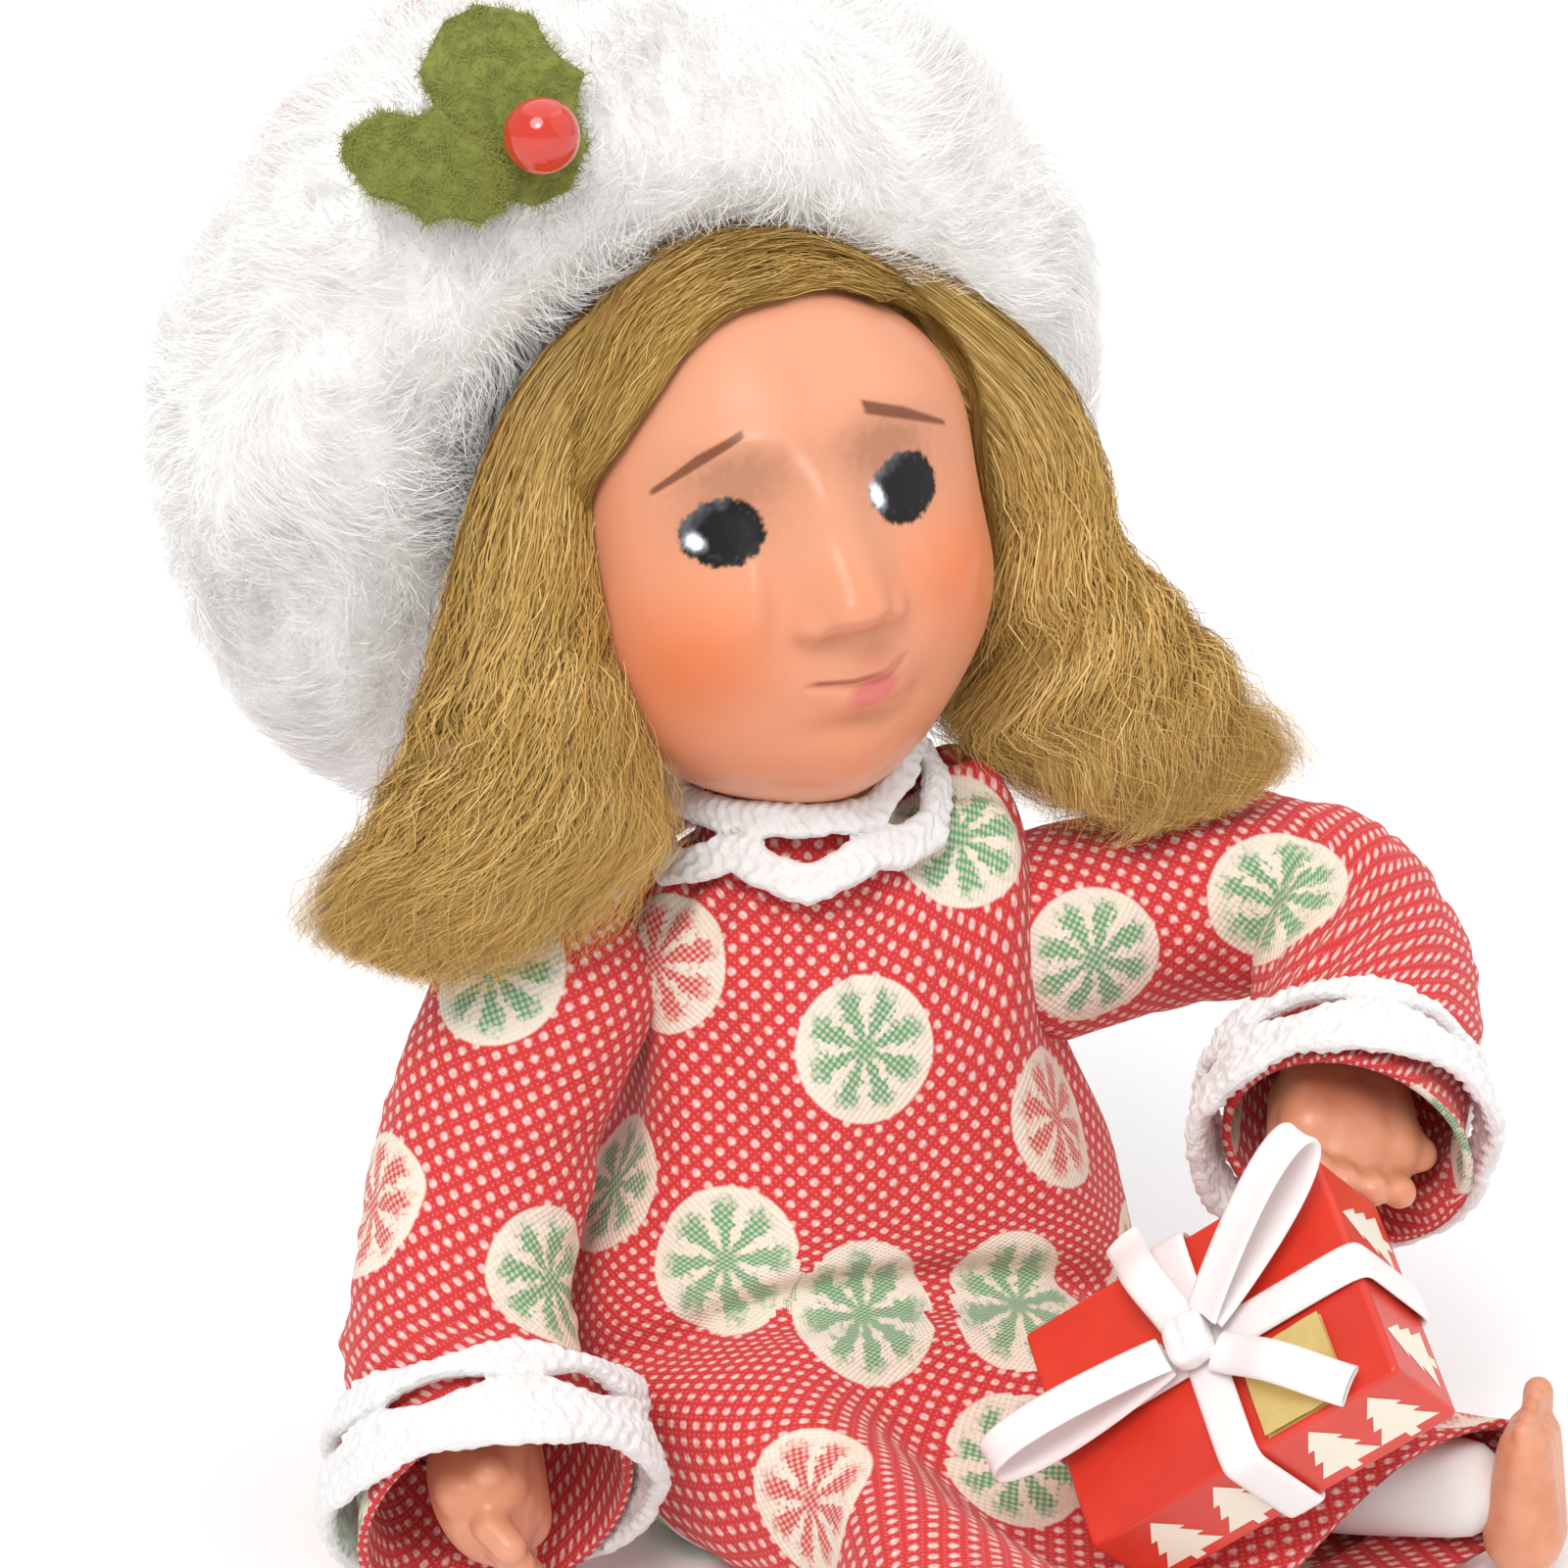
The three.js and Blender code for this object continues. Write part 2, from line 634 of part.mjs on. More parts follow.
// Arms: sleeve, padding, wire with an eye round the crossbar, hand and cuff lace.
function sleeveForm(shoulder, elbow, cuff, cuffRadius, inset, past) {
  const ahead = cuff.clone().sub(elbow).normalize();
  const end = cuff.clone().addScaledVector(ahead, past);
  return joined([
    limb(shoulder, elbow, SLEEVE_HEAD_RADIUS - inset, ELBOW_RADIUS - inset, true, 16),
    limb(elbow, end, ELBOW_RADIUS - inset - CREASE_STEP, cuffRadius - inset, false, 16),
  ]);
}

function addArm(side, outward, shoulder, elbow, cuff, cuffRadius, palmTurn) {
  const ahead = cuff.clone().sub(elbow).normalize();
  const armhole = limb(
    shoulder,
    new THREE.Vector3(shoulder.x - outward * (SLEEVE_HEAD_RADIUS + 2), shoulder.y, shoulder.z),
    ARMHOLE_RADIUS,
    ARMHOLE_RADIUS,
    false,
    16,
    false,
  );
  const outer = sleeveForm(shoulder, elbow, cuff, cuffRadius, 0, 0);
  const inner = sleeveForm(shoulder, elbow, cuff, cuffRadius, CLOTH_WALL, 2);
  const sleeve = mainLump(cutBy(outer, [inner, armhole]));
  addMesh(figure, 'sleeve_' + side, sleeve, materials.cotton);

  const wrist = cuff.clone().addScaledVector(ahead, -ARM_PADDING_SETBACK);
  const knuckle = cuff.clone().addScaledVector(ahead, 2);
  const eyeLow = new THREE.Vector3(shoulder.x, shoulder.y, shoulder.z - EYE_RADIUS);
  const lead = elbow.clone().sub(shoulder).normalize();
  const armPath = [
    eyeLow,
    shoulder.clone().addScaledVector(lead, 9).add(new THREE.Vector3(0, 0, -4.2)),
    shoulder.clone().lerp(elbow, 0.75),
    elbow.clone().lerp(cuff, 0.15),
    wrist,
    knuckle,
  ];
  const armWire = (extra) => {
    const eye = new THREE.TorusGeometry(EYE_RADIUS, EYE_WIRE_RADIUS + extra, WIRE_FACETS, 12);
    eye.rotateY(Math.PI / 2);
    eye.translate(shoulder.x, shoulder.y, shoulder.z);
    return joined([solidOf(eye), wire(armPath, EYE_WIRE_RADIUS + extra, 12)]);
  };
  addMesh(figure, 'arm_wire_' + side, armWire(0), materials.wire);

  const pad = CLOTH_WALL + CLEARANCE;
  const hollow = limb(
    new THREE.Vector3(shoulder.x - outward * (SLEEVE_HEAD_RADIUS + 2), shoulder.y, shoulder.z),
    new THREE.Vector3(shoulder.x + outward * (CROSSBAR_REACH + WIRE_STOP_RADIUS + 0.6), shoulder.y, shoulder.z),
    ARMHOLE_RADIUS - 0.8,
    ARMHOLE_RADIUS - 0.8,
    false,
    16,
    false,
  );
  const stuffing = joined([
    limb(shoulder, elbow, SLEEVE_HEAD_RADIUS - pad, ELBOW_RADIUS - pad - CREASE_STEP, true, 12),
    limb(elbow, wrist, ELBOW_RADIUS - pad - 3 * CREASE_STEP, ELBOW_RADIUS - pad - 2.6, false, 12),
  ]);
  const padding = mainLump(cutBy(stuffing, [hollow, armWire(CLEARANCE)]));
  addMesh(figure, 'arm_padding_' + side, padding, materials.paper);

  // The hand: a tapering palm, four fingers and a thumb.
  const [first, second] = sideDirections(ahead);
  const turn = radians(palmTurn);
  const wide = first.clone().multiplyScalar(Math.cos(turn)).addScaledVector(second, Math.sin(turn));
  const flat = new THREE.Vector3().crossVectors(ahead, wide);
  const handStart = wrist.clone().addScaledVector(ahead, CLEARANCE);
  const at = (along, sideways, up) => handStart.clone().addScaledVector(ahead, along)
    .addScaledVector(wide, sideways).addScaledVector(flat, up);
  const palmRings = [];
  const palmLength = HAND_LENGTH * 0.62;
  for (let i = 0; i <= 4; i += 1) {
    const share = i / 4;
    const half = 0.5 * (0.62 + 0.38 * Math.sin(share * Math.PI * 0.75));
    const ring = [];
    for (let k = 0; k < 10; k += 1) {
      const angle = (k / 10) * 2 * Math.PI;
      ring.push(at(palmLength * share, PALM_WIDTH * half * Math.cos(angle),
        PALM_DEPTH * (half + 0.02) * Math.sin(angle) * (1 - 0.25 * share)));
    }
    palmRings.push(ring);
  }
  const fingers = [-1.5, -0.5, 0.5, 1.5].map((n) => limb(
    at(palmLength * 0.8, n * (PALM_WIDTH / 4), 0),
    at(HAND_LENGTH - FINGER_RADIUS - 0.6 * Math.abs(n), n * (PALM_WIDTH / 3.9), -1.6),
    FINGER_RADIUS,
    FINGER_RADIUS * 0.85,
    true,
    7,
    false,
  ));
  const thumb = limb(
    at(palmLength * 0.35, -outward * PALM_WIDTH * 0.3, 0.4),
    at(palmLength * 0.85, -outward * PALM_WIDTH * 0.66, -1.2),
    FINGER_RADIUS * 1.1,
    FINGER_RADIUS * 0.9,
    true,
    7,
    false,
  );
  const hand = joined([loft(palmRings), thumb, ...fingers]).subtract(armWire(CLEARANCE));
  const handMesh = mainLump(hand);

  const laceStart = cuffRadius + CLEARANCE + LACE_THICKNESS / 2 - 0.2;
  const laceSurface = coneSurface(
    cuff,
    ahead,
    wide,
    flat,
    [laceStart + 0.3, -LACE_OVERLAP],
    [laceStart + CUFF_LACE_FLARE, CUFF_LACE_WIDTH - LACE_OVERLAP],
    COLLAR_MOTIFS,
    0.5,
    COLLAR_MOTIFS,
  );
  addMesh(figure, 'cuff_lace_' + side, laceBand(laceSurface, COLLAR_MOTIFS, LACE_THICKNESS), materials.lace);
  return handMesh;
}
const rightHand = addArm('right', -1, RIGHT_SHOULDER, RIGHT_ELBOW, RIGHT_CUFF, RIGHT_CUFF_RADIUS, 20);
addMesh(figure, 'hand_right', rightHand, materials.clay);
const leftHand = addArm('left', 1, LEFT_SHOULDER, LEFT_ELBOW, LEFT_CUFF, LEFT_CUFF_RADIUS, 70);

// The gift, held by its back edge. Its own x runs along the box, y across it and z out of its top.
const giftOut = new THREE.Vector3().crossVectors(GIFT_ACROSS, GIFT_ALONG).normalize();
const giftAcross = new THREE.Vector3().crossVectors(giftOut, GIFT_ALONG).normalize();
const giftBasis = new THREE.Matrix4().makeBasis(GIFT_ALONG.clone().normalize(), giftAcross, giftOut);
giftGroup.quaternion.setFromRotationMatrix(giftBasis);
giftGroup.position.copy(GIFT_KNOT);
giftGroup.updateMatrixWorld(true);
function boxAt(length, width, depth, x, y, z) {
  const geometry = new THREE.BoxGeometry(length, width, depth);
  geometry.translate(x, y, z);
  return solidOf(geometry);
}
const giftMiddle = -GIFT_DEPTH / 2;
const giftBox = boxAt(GIFT_LENGTH, GIFT_WIDTH, GIFT_DEPTH, 0, 0, giftMiddle);
addMesh(giftGroup, 'gift_box', giftBox, materials.carton);
const wrapGap = CLEARANCE * 2;
const wrapOuter = wrapGap + RIBBON_THICKNESS * 2;
const wraps = boxAt(RIBBON_WIDTH, GIFT_WIDTH + wrapOuter, GIFT_DEPTH + wrapOuter, 0, 0, giftMiddle)
  .add(boxAt(GIFT_LENGTH + wrapOuter, RIBBON_WIDTH, GIFT_DEPTH + wrapOuter, 0, 0, giftMiddle));
const wrapRoom = boxAt(GIFT_LENGTH + wrapGap, GIFT_WIDTH + wrapGap, GIFT_DEPTH + wrapGap, 0, 0, giftMiddle);
addMesh(giftGroup, 'gift_ribbon', wraps.subtract(wrapRoom), materials.ribbon);
const foil = boxAt(FOIL_SIZE, FOIL_SIZE, FOIL_THICKNESS, RIBBON_WIDTH / 2 + 1 + FOIL_SIZE / 2,
  -RIBBON_WIDTH / 2 - 0.8 - FOIL_SIZE / 2, CLEARANCE + FOIL_THICKNESS / 2);
addMesh(giftGroup, 'gift_foil', foil, materials.foil);

// A flat ribbon swept along points in the gift's frame, its width lying along one direction.
function ribbon(points, across) {
  const rings = points.map((point, i) => {
    const before = points[Math.max(i - 1, 0)];
    const after = points[Math.min(i + 1, points.length - 1)];
    const run = after.clone().sub(before).normalize();
    const flat = new THREE.Vector3().crossVectors(run, across).normalize();
    const half = across.clone().multiplyScalar(RIBBON_WIDTH / 2);
    const rise = flat.multiplyScalar(RIBBON_THICKNESS / 2);
    return [
      point.clone().add(half).add(rise),
      point.clone().sub(half).add(rise),
      point.clone().sub(half).sub(rise),
      point.clone().add(half).sub(rise),
    ];
  });
  return loft(rings);
}
const bowBase = CLEARANCE * 2 + RIBBON_THICKNESS;
const knotHalf = 1.9;
const knotHeight = 2.6;
const knotGeometry = new THREE.SphereGeometry(1, 12, 8);
knotGeometry.scale(knotHalf, knotHalf * 1.15, knotHeight / 2);
knotGeometry.translate(0, 0, bowBase + knotHeight / 2);
addMesh(giftGroup, 'bow_knot', solidOf(knotGeometry), materials.ribbon);
function bowLoop(heading) {
  const run = new THREE.Vector3(Math.cos(radians(heading)), Math.sin(radians(heading)), 0);
  const across = new THREE.Vector3(-run.y, run.x, 0);
  const points = [];
  const steps = 18;
  for (let i = 0; i <= steps; i += 1) {
    const angle = Math.PI * (0.06 + 1.88 * (i / steps));
    const reach = knotHalf + CLEARANCE + (BOW_LOOP_LENGTH / 2) * (1 - Math.cos(angle));
    const rise = -(BOW_LOOP_HEIGHT / 2) * Math.sin(angle) * (0.35 + 0.65 * (1 - Math.cos(angle)) / 2);
    const point = run.clone().multiplyScalar(reach);
    point.z = bowBase + knotHeight / 2 + BOW_LOOP_TILT * (reach - knotHalf) + rise;
    points.push(point);
  }
  return ribbon(points, across);
}
addMesh(giftGroup, 'bow_loop_low', bowLoop(188), materials.ribbon);
addMesh(giftGroup, 'bow_loop_high', bowLoop(30), materials.ribbon);
function bowTail(heading, length) {
  const run = new THREE.Vector3(Math.cos(radians(heading)), Math.sin(radians(heading)), 0);
  const across = new THREE.Vector3(-run.y, run.x, 0);
  const points = [];
  for (let i = 0; i <= 8; i += 1) {
    const share = i / 8;
    const point = run.clone().multiplyScalar(knotHalf + CLEARANCE + length * share);
    point.z = bowBase + 0.6 + 1.6 * Math.sin(share * Math.PI) ** 2;
    points.push(point);
  }
  return ribbon(points, across);
}
addMesh(giftGroup, 'bow_tail_upper', bowTail(104, BOW_TAIL_LENGTH * 0.8), materials.ribbon);
addMesh(giftGroup, 'bow_tail_lower', bowTail(-44, BOW_TAIL_LENGTH), materials.ribbon);

// The left hand lies against the gift without entering it.
function toFigure(solid, group) {
  const geometry = geometryOf(solid);
  geometry.applyMatrix4(group.matrixWorld);
  return solidOf(geometry);
}
function toGroup(solid, group) {
  const geometry = geometryOf(solid);
  geometry.applyMatrix4(group.matrixWorld.clone().invert());
  return solidOf(geometry);
}
const giftRoom = boxAt(GIFT_LENGTH + wrapOuter + CLEARANCE * 2, GIFT_WIDTH + wrapOuter + CLEARANCE * 2,
  GIFT_DEPTH + wrapOuter + CLEARANCE * 2, 0, 0, giftMiddle);
const heldHand = mainLump(leftHand.subtract(toFigure(giftRoom, giftGroup)));
addMesh(figure, 'hand_left', heldHand, materials.clay);

// The clay head: an egg with relief for cheeks, nose, chin, lips and eye hollows.
headGroup.position.copy(HEAD_CENTRE);
headGroup.rotation.set(radians(HEAD_PITCH), radians(HEAD_ROLL), radians(HEAD_YAW), 'ZYX');
headGroup.updateMatrixWorld(true);
function faceRelief(x, z) {
  const cheek = 1.5 * (smoothBump(x - 9.5, 5.5) + smoothBump(x + 9.5, 5.5)) * smoothBump(z + 5.5, 6);
  const noseTip = 3.6 * smoothBump(x, 2.6) * smoothBump(z + 2, 2.9);
  const noseWings = 1.1 * smoothBump(Math.abs(x) - 2.4, 1.6) * smoothBump(z + 3.2, 1.9);
  const bridge = 1.3 * smoothBump(x, 2.2) * smoothBump(z - 4, 4.5);
  const eyeHollow = -0.8 * (smoothBump(x - 7.4, 4.2) + smoothBump(x + 7.4, 4.2)) * smoothBump(z - 4.2, 3.6);
  const lips = 1.2 * smoothBump(x - 0.6, 4.2) * smoothBump(z + 9.8, 3.2);
  const chin = 1.5 * smoothBump(x, 5) * smoothBump(z + 17.5, 4.6);
  return cheek + noseTip + noseWings + bridge + eyeHollow + lips + chin;
}
function headPoint(around, down, extra, reliefShare) {
  const turn = around - 0.42 * reliefShare * Math.sin(around);
  const ring = Math.sin(down);
  const x = (HEAD_HALF_WIDTH + extra) * ring * Math.sin(turn);
  const y = -(HEAD_HALF_DEPTH + extra) * ring * Math.cos(turn);
  const z = (HEAD_HALF_HEIGHT + extra) * Math.cos(down);
  const jaw = 1 + 0.11 * smoothBump(z + 9, 8) - 0.04 * smoothBump(z + HEAD_HALF_HEIGHT, 6);
  const facing = Math.max(-y / HEAD_HALF_DEPTH, 0);
  const relief = reliefShare * facing * faceRelief(x, z);
  const out = new THREE.Vector3(x, y, z).normalize();
  return new THREE.Vector3(x * jaw + out.x * relief, y + out.y * relief, z + out.z * relief);
}
function headForm(extra, reliefShare, stepsAround, stepsDown) {
  const rings = [];
  for (let row = 0; row < stepsDown; row += 1) {
    const down = Math.PI * (0.02 + 0.96 * (row / (stepsDown - 1)));
    const ring = [];
    for (let i = 0; i < stepsAround; i += 1) {
      ring.push(headPoint(-Math.PI + (2 * Math.PI * i) / stepsAround, down, extra, reliefShare));
    }
    rings.push(ring);
  }
  return loft(rings);
}
const neck = toGroup(upright(NECK_RADIUS, NECK_BOTTOM_Z, HEAD_CENTRE.z - HEAD_HALF_HEIGHT * 0.6, 18), headGroup);
const socket = toGroup(upright(WIRE_RADIUS + CLEARANCE, NECK_BOTTOM_Z - 4, NECK_POST_TOP + 1, 10), headGroup);
const head = headForm(0, 1, HEAD_STEPS_AROUND, HEAD_STEPS_DOWN).add(neck).subtract(socket);
addMesh(headGroup, 'head', head, materials.clay);

// The head without its relief, larger all round.
const egg = (extra) => headForm(extra, 0, 22, 14);

// The wig's cap: a rind round the back of the head, open over the face and under the nape.
const faceOpening = new THREE.BoxGeometry(80, 60, 80);
faceOpening.translate(0, -30, -40);
faceOpening.rotateX(radians(14));
faceOpening.translate(0, -3, HEAD_HALF_HEIGHT - 3);
const napeOpening = boxAt(80, 80, 40, 0, 0, -HEAD_HALF_HEIGHT * 0.55 - 20);
const hairCap = mainLump(cutBy(egg(CLEARANCE * 2 + HAIR_CAP_THICKNESS), [
  egg(CLEARANCE * 2),
  solidOf(faceOpening),
  napeOpening,
]));
addMesh(headGroup, 'hair_cap', hairCap, materials.hair);
const headRoom = toFigure(egg(CLEARANCE * 3.5 + HAIR_CAP_THICKNESS), headGroup);

// Hat: a fat roll of fur with a gathered, stuffed cotton crown behind it. Its own x runs to the figure's
// right, y to the top of the brim and z out of the crown.
hatGroup.position.copy(HAT_CENTRE);
const hatAxis = HAT_AXIS.clone().normalize();
const hatRight = new THREE.Vector3().crossVectors(UP, hatAxis).normalize();
const hatTop = new THREE.Vector3().crossVectors(hatAxis, hatRight);
hatGroup.quaternion.setFromRotationMatrix(new THREE.Matrix4().makeBasis(hatRight, hatTop, hatAxis));
hatGroup.updateMatrixWorld(true);
function brim(extra) {
  const geometry = new THREE.TorusGeometry(BRIM_RING_RADIUS, BRIM_ROLL_RADIUS + extra,
    BRIM_STEPS_ROLL, BRIM_STEPS_AROUND);
  return solidOf(geometry);
}
const brimBody = mainLump(brim(0).subtract(toGroup(headRoom, hatGroup)));
addMesh(hatGroup, 'hat_brim', brimBody, materials.fur);

const mouth = BRIM_RING_RADIUS - BRIM_ROLL_RADIUS - CLEARANCE * 2;
const crownStart = BRIM_ROLL_RADIUS - 1.4;
const crownProfile = [
  [mouth - 1, crownStart * 0.3],
  [mouth - 0.6, crownStart * 0.5],
  [mouth + 1.2, crownStart * 0.8],
  [mouth + 6, crownStart + 0.4],
  [CROWN_BULGE - 1.5, crownStart + 1.8],
  [CROWN_BULGE, crownStart + 5],
  [CROWN_BULGE * 0.96, CROWN_HEIGHT * 0.72],
  [CROWN_BULGE * 0.78, CROWN_HEIGHT * 0.9],
  [CROWN_BULGE * 0.42, CROWN_HEIGHT * 0.985],
  [CROWN_BULGE * 0.06, CROWN_HEIGHT],
];
function crownForm(extra) {
  const count = CROWN_GATHERS * 2;
  return loft(crownProfile.map(([radius, height], row) => {
    const ring = [];
    const gather = row > 3 && row < 8 ? CROWN_GATHER_DEPTH : 0;
    for (let i = 0; i < count; i += 1) {
      const angle = (i / count) * 2 * Math.PI;
      const reach = radius * (1 + gather * Math.cos(CROWN_GATHERS * angle)) + extra;
      const lift = height > CROWN_HEIGHT * 0.5 ? extra : 0;
      ring.push(new THREE.Vector3(reach * Math.cos(angle), reach * Math.sin(angle), height + lift));
    }
    return ring;
  }));
}
const crown = mainLump(cutBy(crownForm(0), [brim(CLEARANCE), toGroup(headRoom, hatGroup)]));
addMesh(hatGroup, 'hat_crown', crown, materials.cotton);

// Felt holly laid on the fur: each leaf follows the roll and lifts towards its tip.
function brimPoint(around, roll, lift) {
  const reach = BRIM_RING_RADIUS + (BRIM_ROLL_RADIUS + lift) * Math.cos(roll);
  return new THREE.Vector3(reach * Math.cos(around), reach * Math.sin(around),
    (BRIM_ROLL_RADIUS + lift) * Math.sin(roll));
}
function leaf(around, roll, heading, length, width, lift) {
  const surface = (u, v) => {
    const along = length * u;
    const spines = 1 + 0.3 * Math.cos(2 * Math.PI * 3 * u + Math.PI);
    const half = (width / 2) * Math.pow(Math.sin(Math.PI * (0.05 + 0.93 * u)), 0.8) * spines;
    const sideways = half * (2 * v - 1);
    const towards = along * Math.cos(heading) - sideways * Math.sin(heading);
    const over = along * Math.sin(heading) + sideways * Math.cos(heading);
    const turn = around + towards / (BRIM_RING_RADIUS + BRIM_ROLL_RADIUS);
    const tilt = roll + over / (BRIM_ROLL_RADIUS + 2);
    const height = lift + LEAF_THICKNESS / 2 + 1.5 * u * u;
    const point = brimPoint(turn, tilt, height);
    const out = point.clone().sub(brimPoint(turn, tilt, height - 1)).normalize();
    return [point, out];
  };
  return sheet(surface, 12, 2, LEAF_THICKNESS, false, () => true);
}
const berryPlace = [radians(63), radians(-63)];
const largeLeaf = leaf(radians(61.5), radians(-80), radians(80), LARGE_LEAF_LENGTH, LARGE_LEAF_WIDTH, CLEARANCE);
const smallLeaf = leaf(radians(55), radians(-76), radians(118), SMALL_LEAF_LENGTH, SMALL_LEAF_WIDTH,
  CLEARANCE * 2 + LEAF_THICKNESS);
const berryCentre = brimPoint(berryPlace[0], berryPlace[1],
  BERRY_RADIUS + CLEARANCE * 2 + LEAF_THICKNESS);
const berryRoom = ball(berryCentre, BERRY_RADIUS + CLEARANCE, 12, 8);
addMesh(hatGroup, 'holly_leaf_large', mainLump(largeLeaf.subtract(berryRoom)), materials.felt);
addMesh(hatGroup, 'holly_leaf_small', mainLump(smallLeaf.subtract(berryRoom)), materials.felt);
const berry = new THREE.Mesh(new THREE.SphereGeometry(BERRY_RADIUS, 14, 10), materials.bead);
berry.position.copy(berryCentre);
berry.name = 'holly_berry';
hatGroup.add(berry);

// Long wavy locks: flattened, rippled lengths of hair on each side of the face.
function lock(stations, waves) {
  const centres = new THREE.CatmullRomCurve3(stations.map((row) => new THREE.Vector3(row[0], row[1], row[2])));
  const steps = 13;
  const rings = [];
  for (let i = 0; i <= steps; i += 1) {
    const share = i / steps;
    const place = share * (stations.length - 1);
    const low = Math.min(Math.floor(place), stations.length - 2);
    const mix = place - low;
    const wide = THREE.MathUtils.lerp(stations[low][3], stations[low + 1][3], mix) / 2;
    const thick = THREE.MathUtils.lerp(stations[low][4], stations[low + 1][4], mix) / 2;
    const centre = centres.getPoint(share);
    const run = centres.getTangent(share);
    const flat = new THREE.Vector3(-0.33, -0.94, 0).addScaledVector(run, 0.33 * run.x + 0.94 * run.y).normalize();
    const across = new THREE.Vector3().crossVectors(run, flat).normalize();
    const ring = [];
    for (let k = 0; k < 16; k += 1) {
      const angle = (k / 16) * 2 * Math.PI;
      const ripple = 1 + 0.06 * Math.cos(waves * angle + 5 * share);
      const point = centre.clone().addScaledVector(across, wide * ripple * Math.cos(angle));
      ring.push(point.addScaledVector(flat, thick * ripple * Math.sin(angle)));
    }
    rings.push(ring);
  }
  return loft(rings);
}
const rightLock = lock([
  [-8, 2, 107, 6, 4.5],
  [-17.5, 0.5, 99, 8, 7],
  [-23.5, -1, 88.5, 10, 9],
  [-26.5, -3, 78.6, 13, 10],
  [-27.2, -4.5, 71, 18, 11],
  [-29.5, -6, 64, 25, 11],
  [-32.5, -6.8, 58, 27, 11],
  [-35.5, -7, 53.5, 24, 9],
  [-38.5, -7, 49.8, 14, 5],
], 7);
const leftLock = lock([
  [4, 1, 107.5, 6, 4.5],
  [14.8, 1, 98.5, 9.5, 7],
  [21.8, 1, 88, 11.5, 8],
  [23.4, -0.5, 79.5, 15, 9],
  [26.2, -2, 72, 19, 10],
  [30.2, -3.6, 66, 20, 9],
  [34.8, -4.6, 61.2, 17, 7],
  [39.2, -5, 57.6, 9, 4],
], 7);

// Each lock is trimmed to the round of the shoulder below it, so that the head can turn.
function shoulderSweep(profile) {
  const points = [new THREE.Vector2(0, 20), ...profile.map(([r, z]) => new THREE.Vector2(r, z))];
  const last = profile[profile.length - 1][0];
  points.push(new THREE.Vector2(last, 20), new THREE.Vector2(0, 20));
  const geometry = new THREE.LatheGeometry(points, 48);
  geometry.rotateX(Math.PI / 2);
  return solidOf(geometry);
}
function crest(reach, top) {
  const profile = [[0, COLLAR_TOP[1] + LACE_THICKNESS + HAIR_SWEEP_GAP]];
  profile.push([COLLAR_TOP[0] + LACE_THICKNESS, COLLAR_TOP[1] + LACE_THICKNESS + HAIR_SWEEP_GAP]);
  profile.push([SHOULDER_X - SLEEVE_HEAD_RADIUS * 0.5, top(SHOULDER_X - SLEEVE_HEAD_RADIUS * 0.5)]);
  for (let i = 0; i <= 8; i += 1) {
    const radius = SHOULDER_X + (i / 8) * (reach - SHOULDER_X);
    profile.push([radius, top(radius)]);
  }
  return shoulderSweep(profile);
}
// The height of the right sleeve: a ball at the shoulder, then the straight side of the upper arm.
const armTilt = Math.atan2(RIGHT_SHOULDER.x - RIGHT_ELBOW.x, RIGHT_SHOULDER.z - RIGHT_ELBOW.z);
const rightSleeveTop = (radius) => {
  const edge = SHOULDER_X + SLEEVE_HEAD_RADIUS * Math.cos(armTilt);
  const square = SLEEVE_HEAD_RADIUS ** 2 - (Math.min(radius, edge) - SHOULDER_X) ** 2;
  const fall = Math.max(radius - edge, 0) / Math.tan(armTilt);
  return SHOULDER_Z + Math.sqrt(square) - fall + HAIR_SWEEP_GAP;
};
function lifted(elbow, shoulder, degrees) {
  const arm = elbow.clone().sub(shoulder);
  return arm.applyAxisAngle(new THREE.Vector3(1, 0, 0), -radians(degrees)).add(shoulder);
}
const liftedElbow = lifted(LEFT_ELBOW, LEFT_SHOULDER, LEFT_ARM_LIFT);
const leftSleeveTop = () => Math.max(LEFT_SHOULDER.z + SLEEVE_HEAD_RADIUS, liftedElbow.z + ELBOW_RADIUS)
  + HAIR_SWEEP_GAP;
const rightCrest = crest(SHOULDER_X + SLEEVE_HEAD_RADIUS + 4, rightSleeveTop);
const leftCrest = crest(LEFT_ELBOW.x + ELBOW_RADIUS, leftSleeveTop);
function liftedSleeve(share, neckTurn) {
  const turned = (point) => point.clone().applyAxisAngle(UP, radians(neckTurn));
  const elbow = lifted(RIGHT_ELBOW, RIGHT_SHOULDER, RIGHT_ARM_LIFT * share);
  const shoulderRadius = SLEEVE_HEAD_RADIUS + HAIR_SWEEP_GAP;
  return limb(turned(RIGHT_SHOULDER), turned(elbow), shoulderRadius, ELBOW_RADIUS + HAIR_SWEEP_GAP, true, 16);
}
const liftedSleeves = [];
for (const neckTurn of [-NECK_TURN, 0, NECK_TURN]) {
  liftedSleeves.push(liftedSleeve(0.5, neckTurn), liftedSleeve(1, neckTurn));
}
const brimRoom = toFigure(brim(CLEARANCE), hatGroup);
const crownRoom = toFigure(crownForm(CLEARANCE), hatGroup);
const hatRooms = [headRoom, brimRoom, crownRoom];
const trimmedRight = mainLump(cutBy(rightLock, [...hatRooms, rightCrest, ...liftedSleeves]));
addMesh(figure, 'hair_lock_right', trimmedRight, materials.hair);
const trimmedLeft = mainLump(cutBy(leftLock, [...hatRooms, leftCrest]));
addMesh(figure, 'hair_lock_left', trimmedLeft, materials.hair);

export default figure;
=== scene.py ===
"""A seated caroler figurine: printed cotton, crochet lace, fur, mohair and painted clay on a wire frame."""

import math
from collections import namedtuple

import bpy
import numpy as np
from mathutils import Matrix, Vector


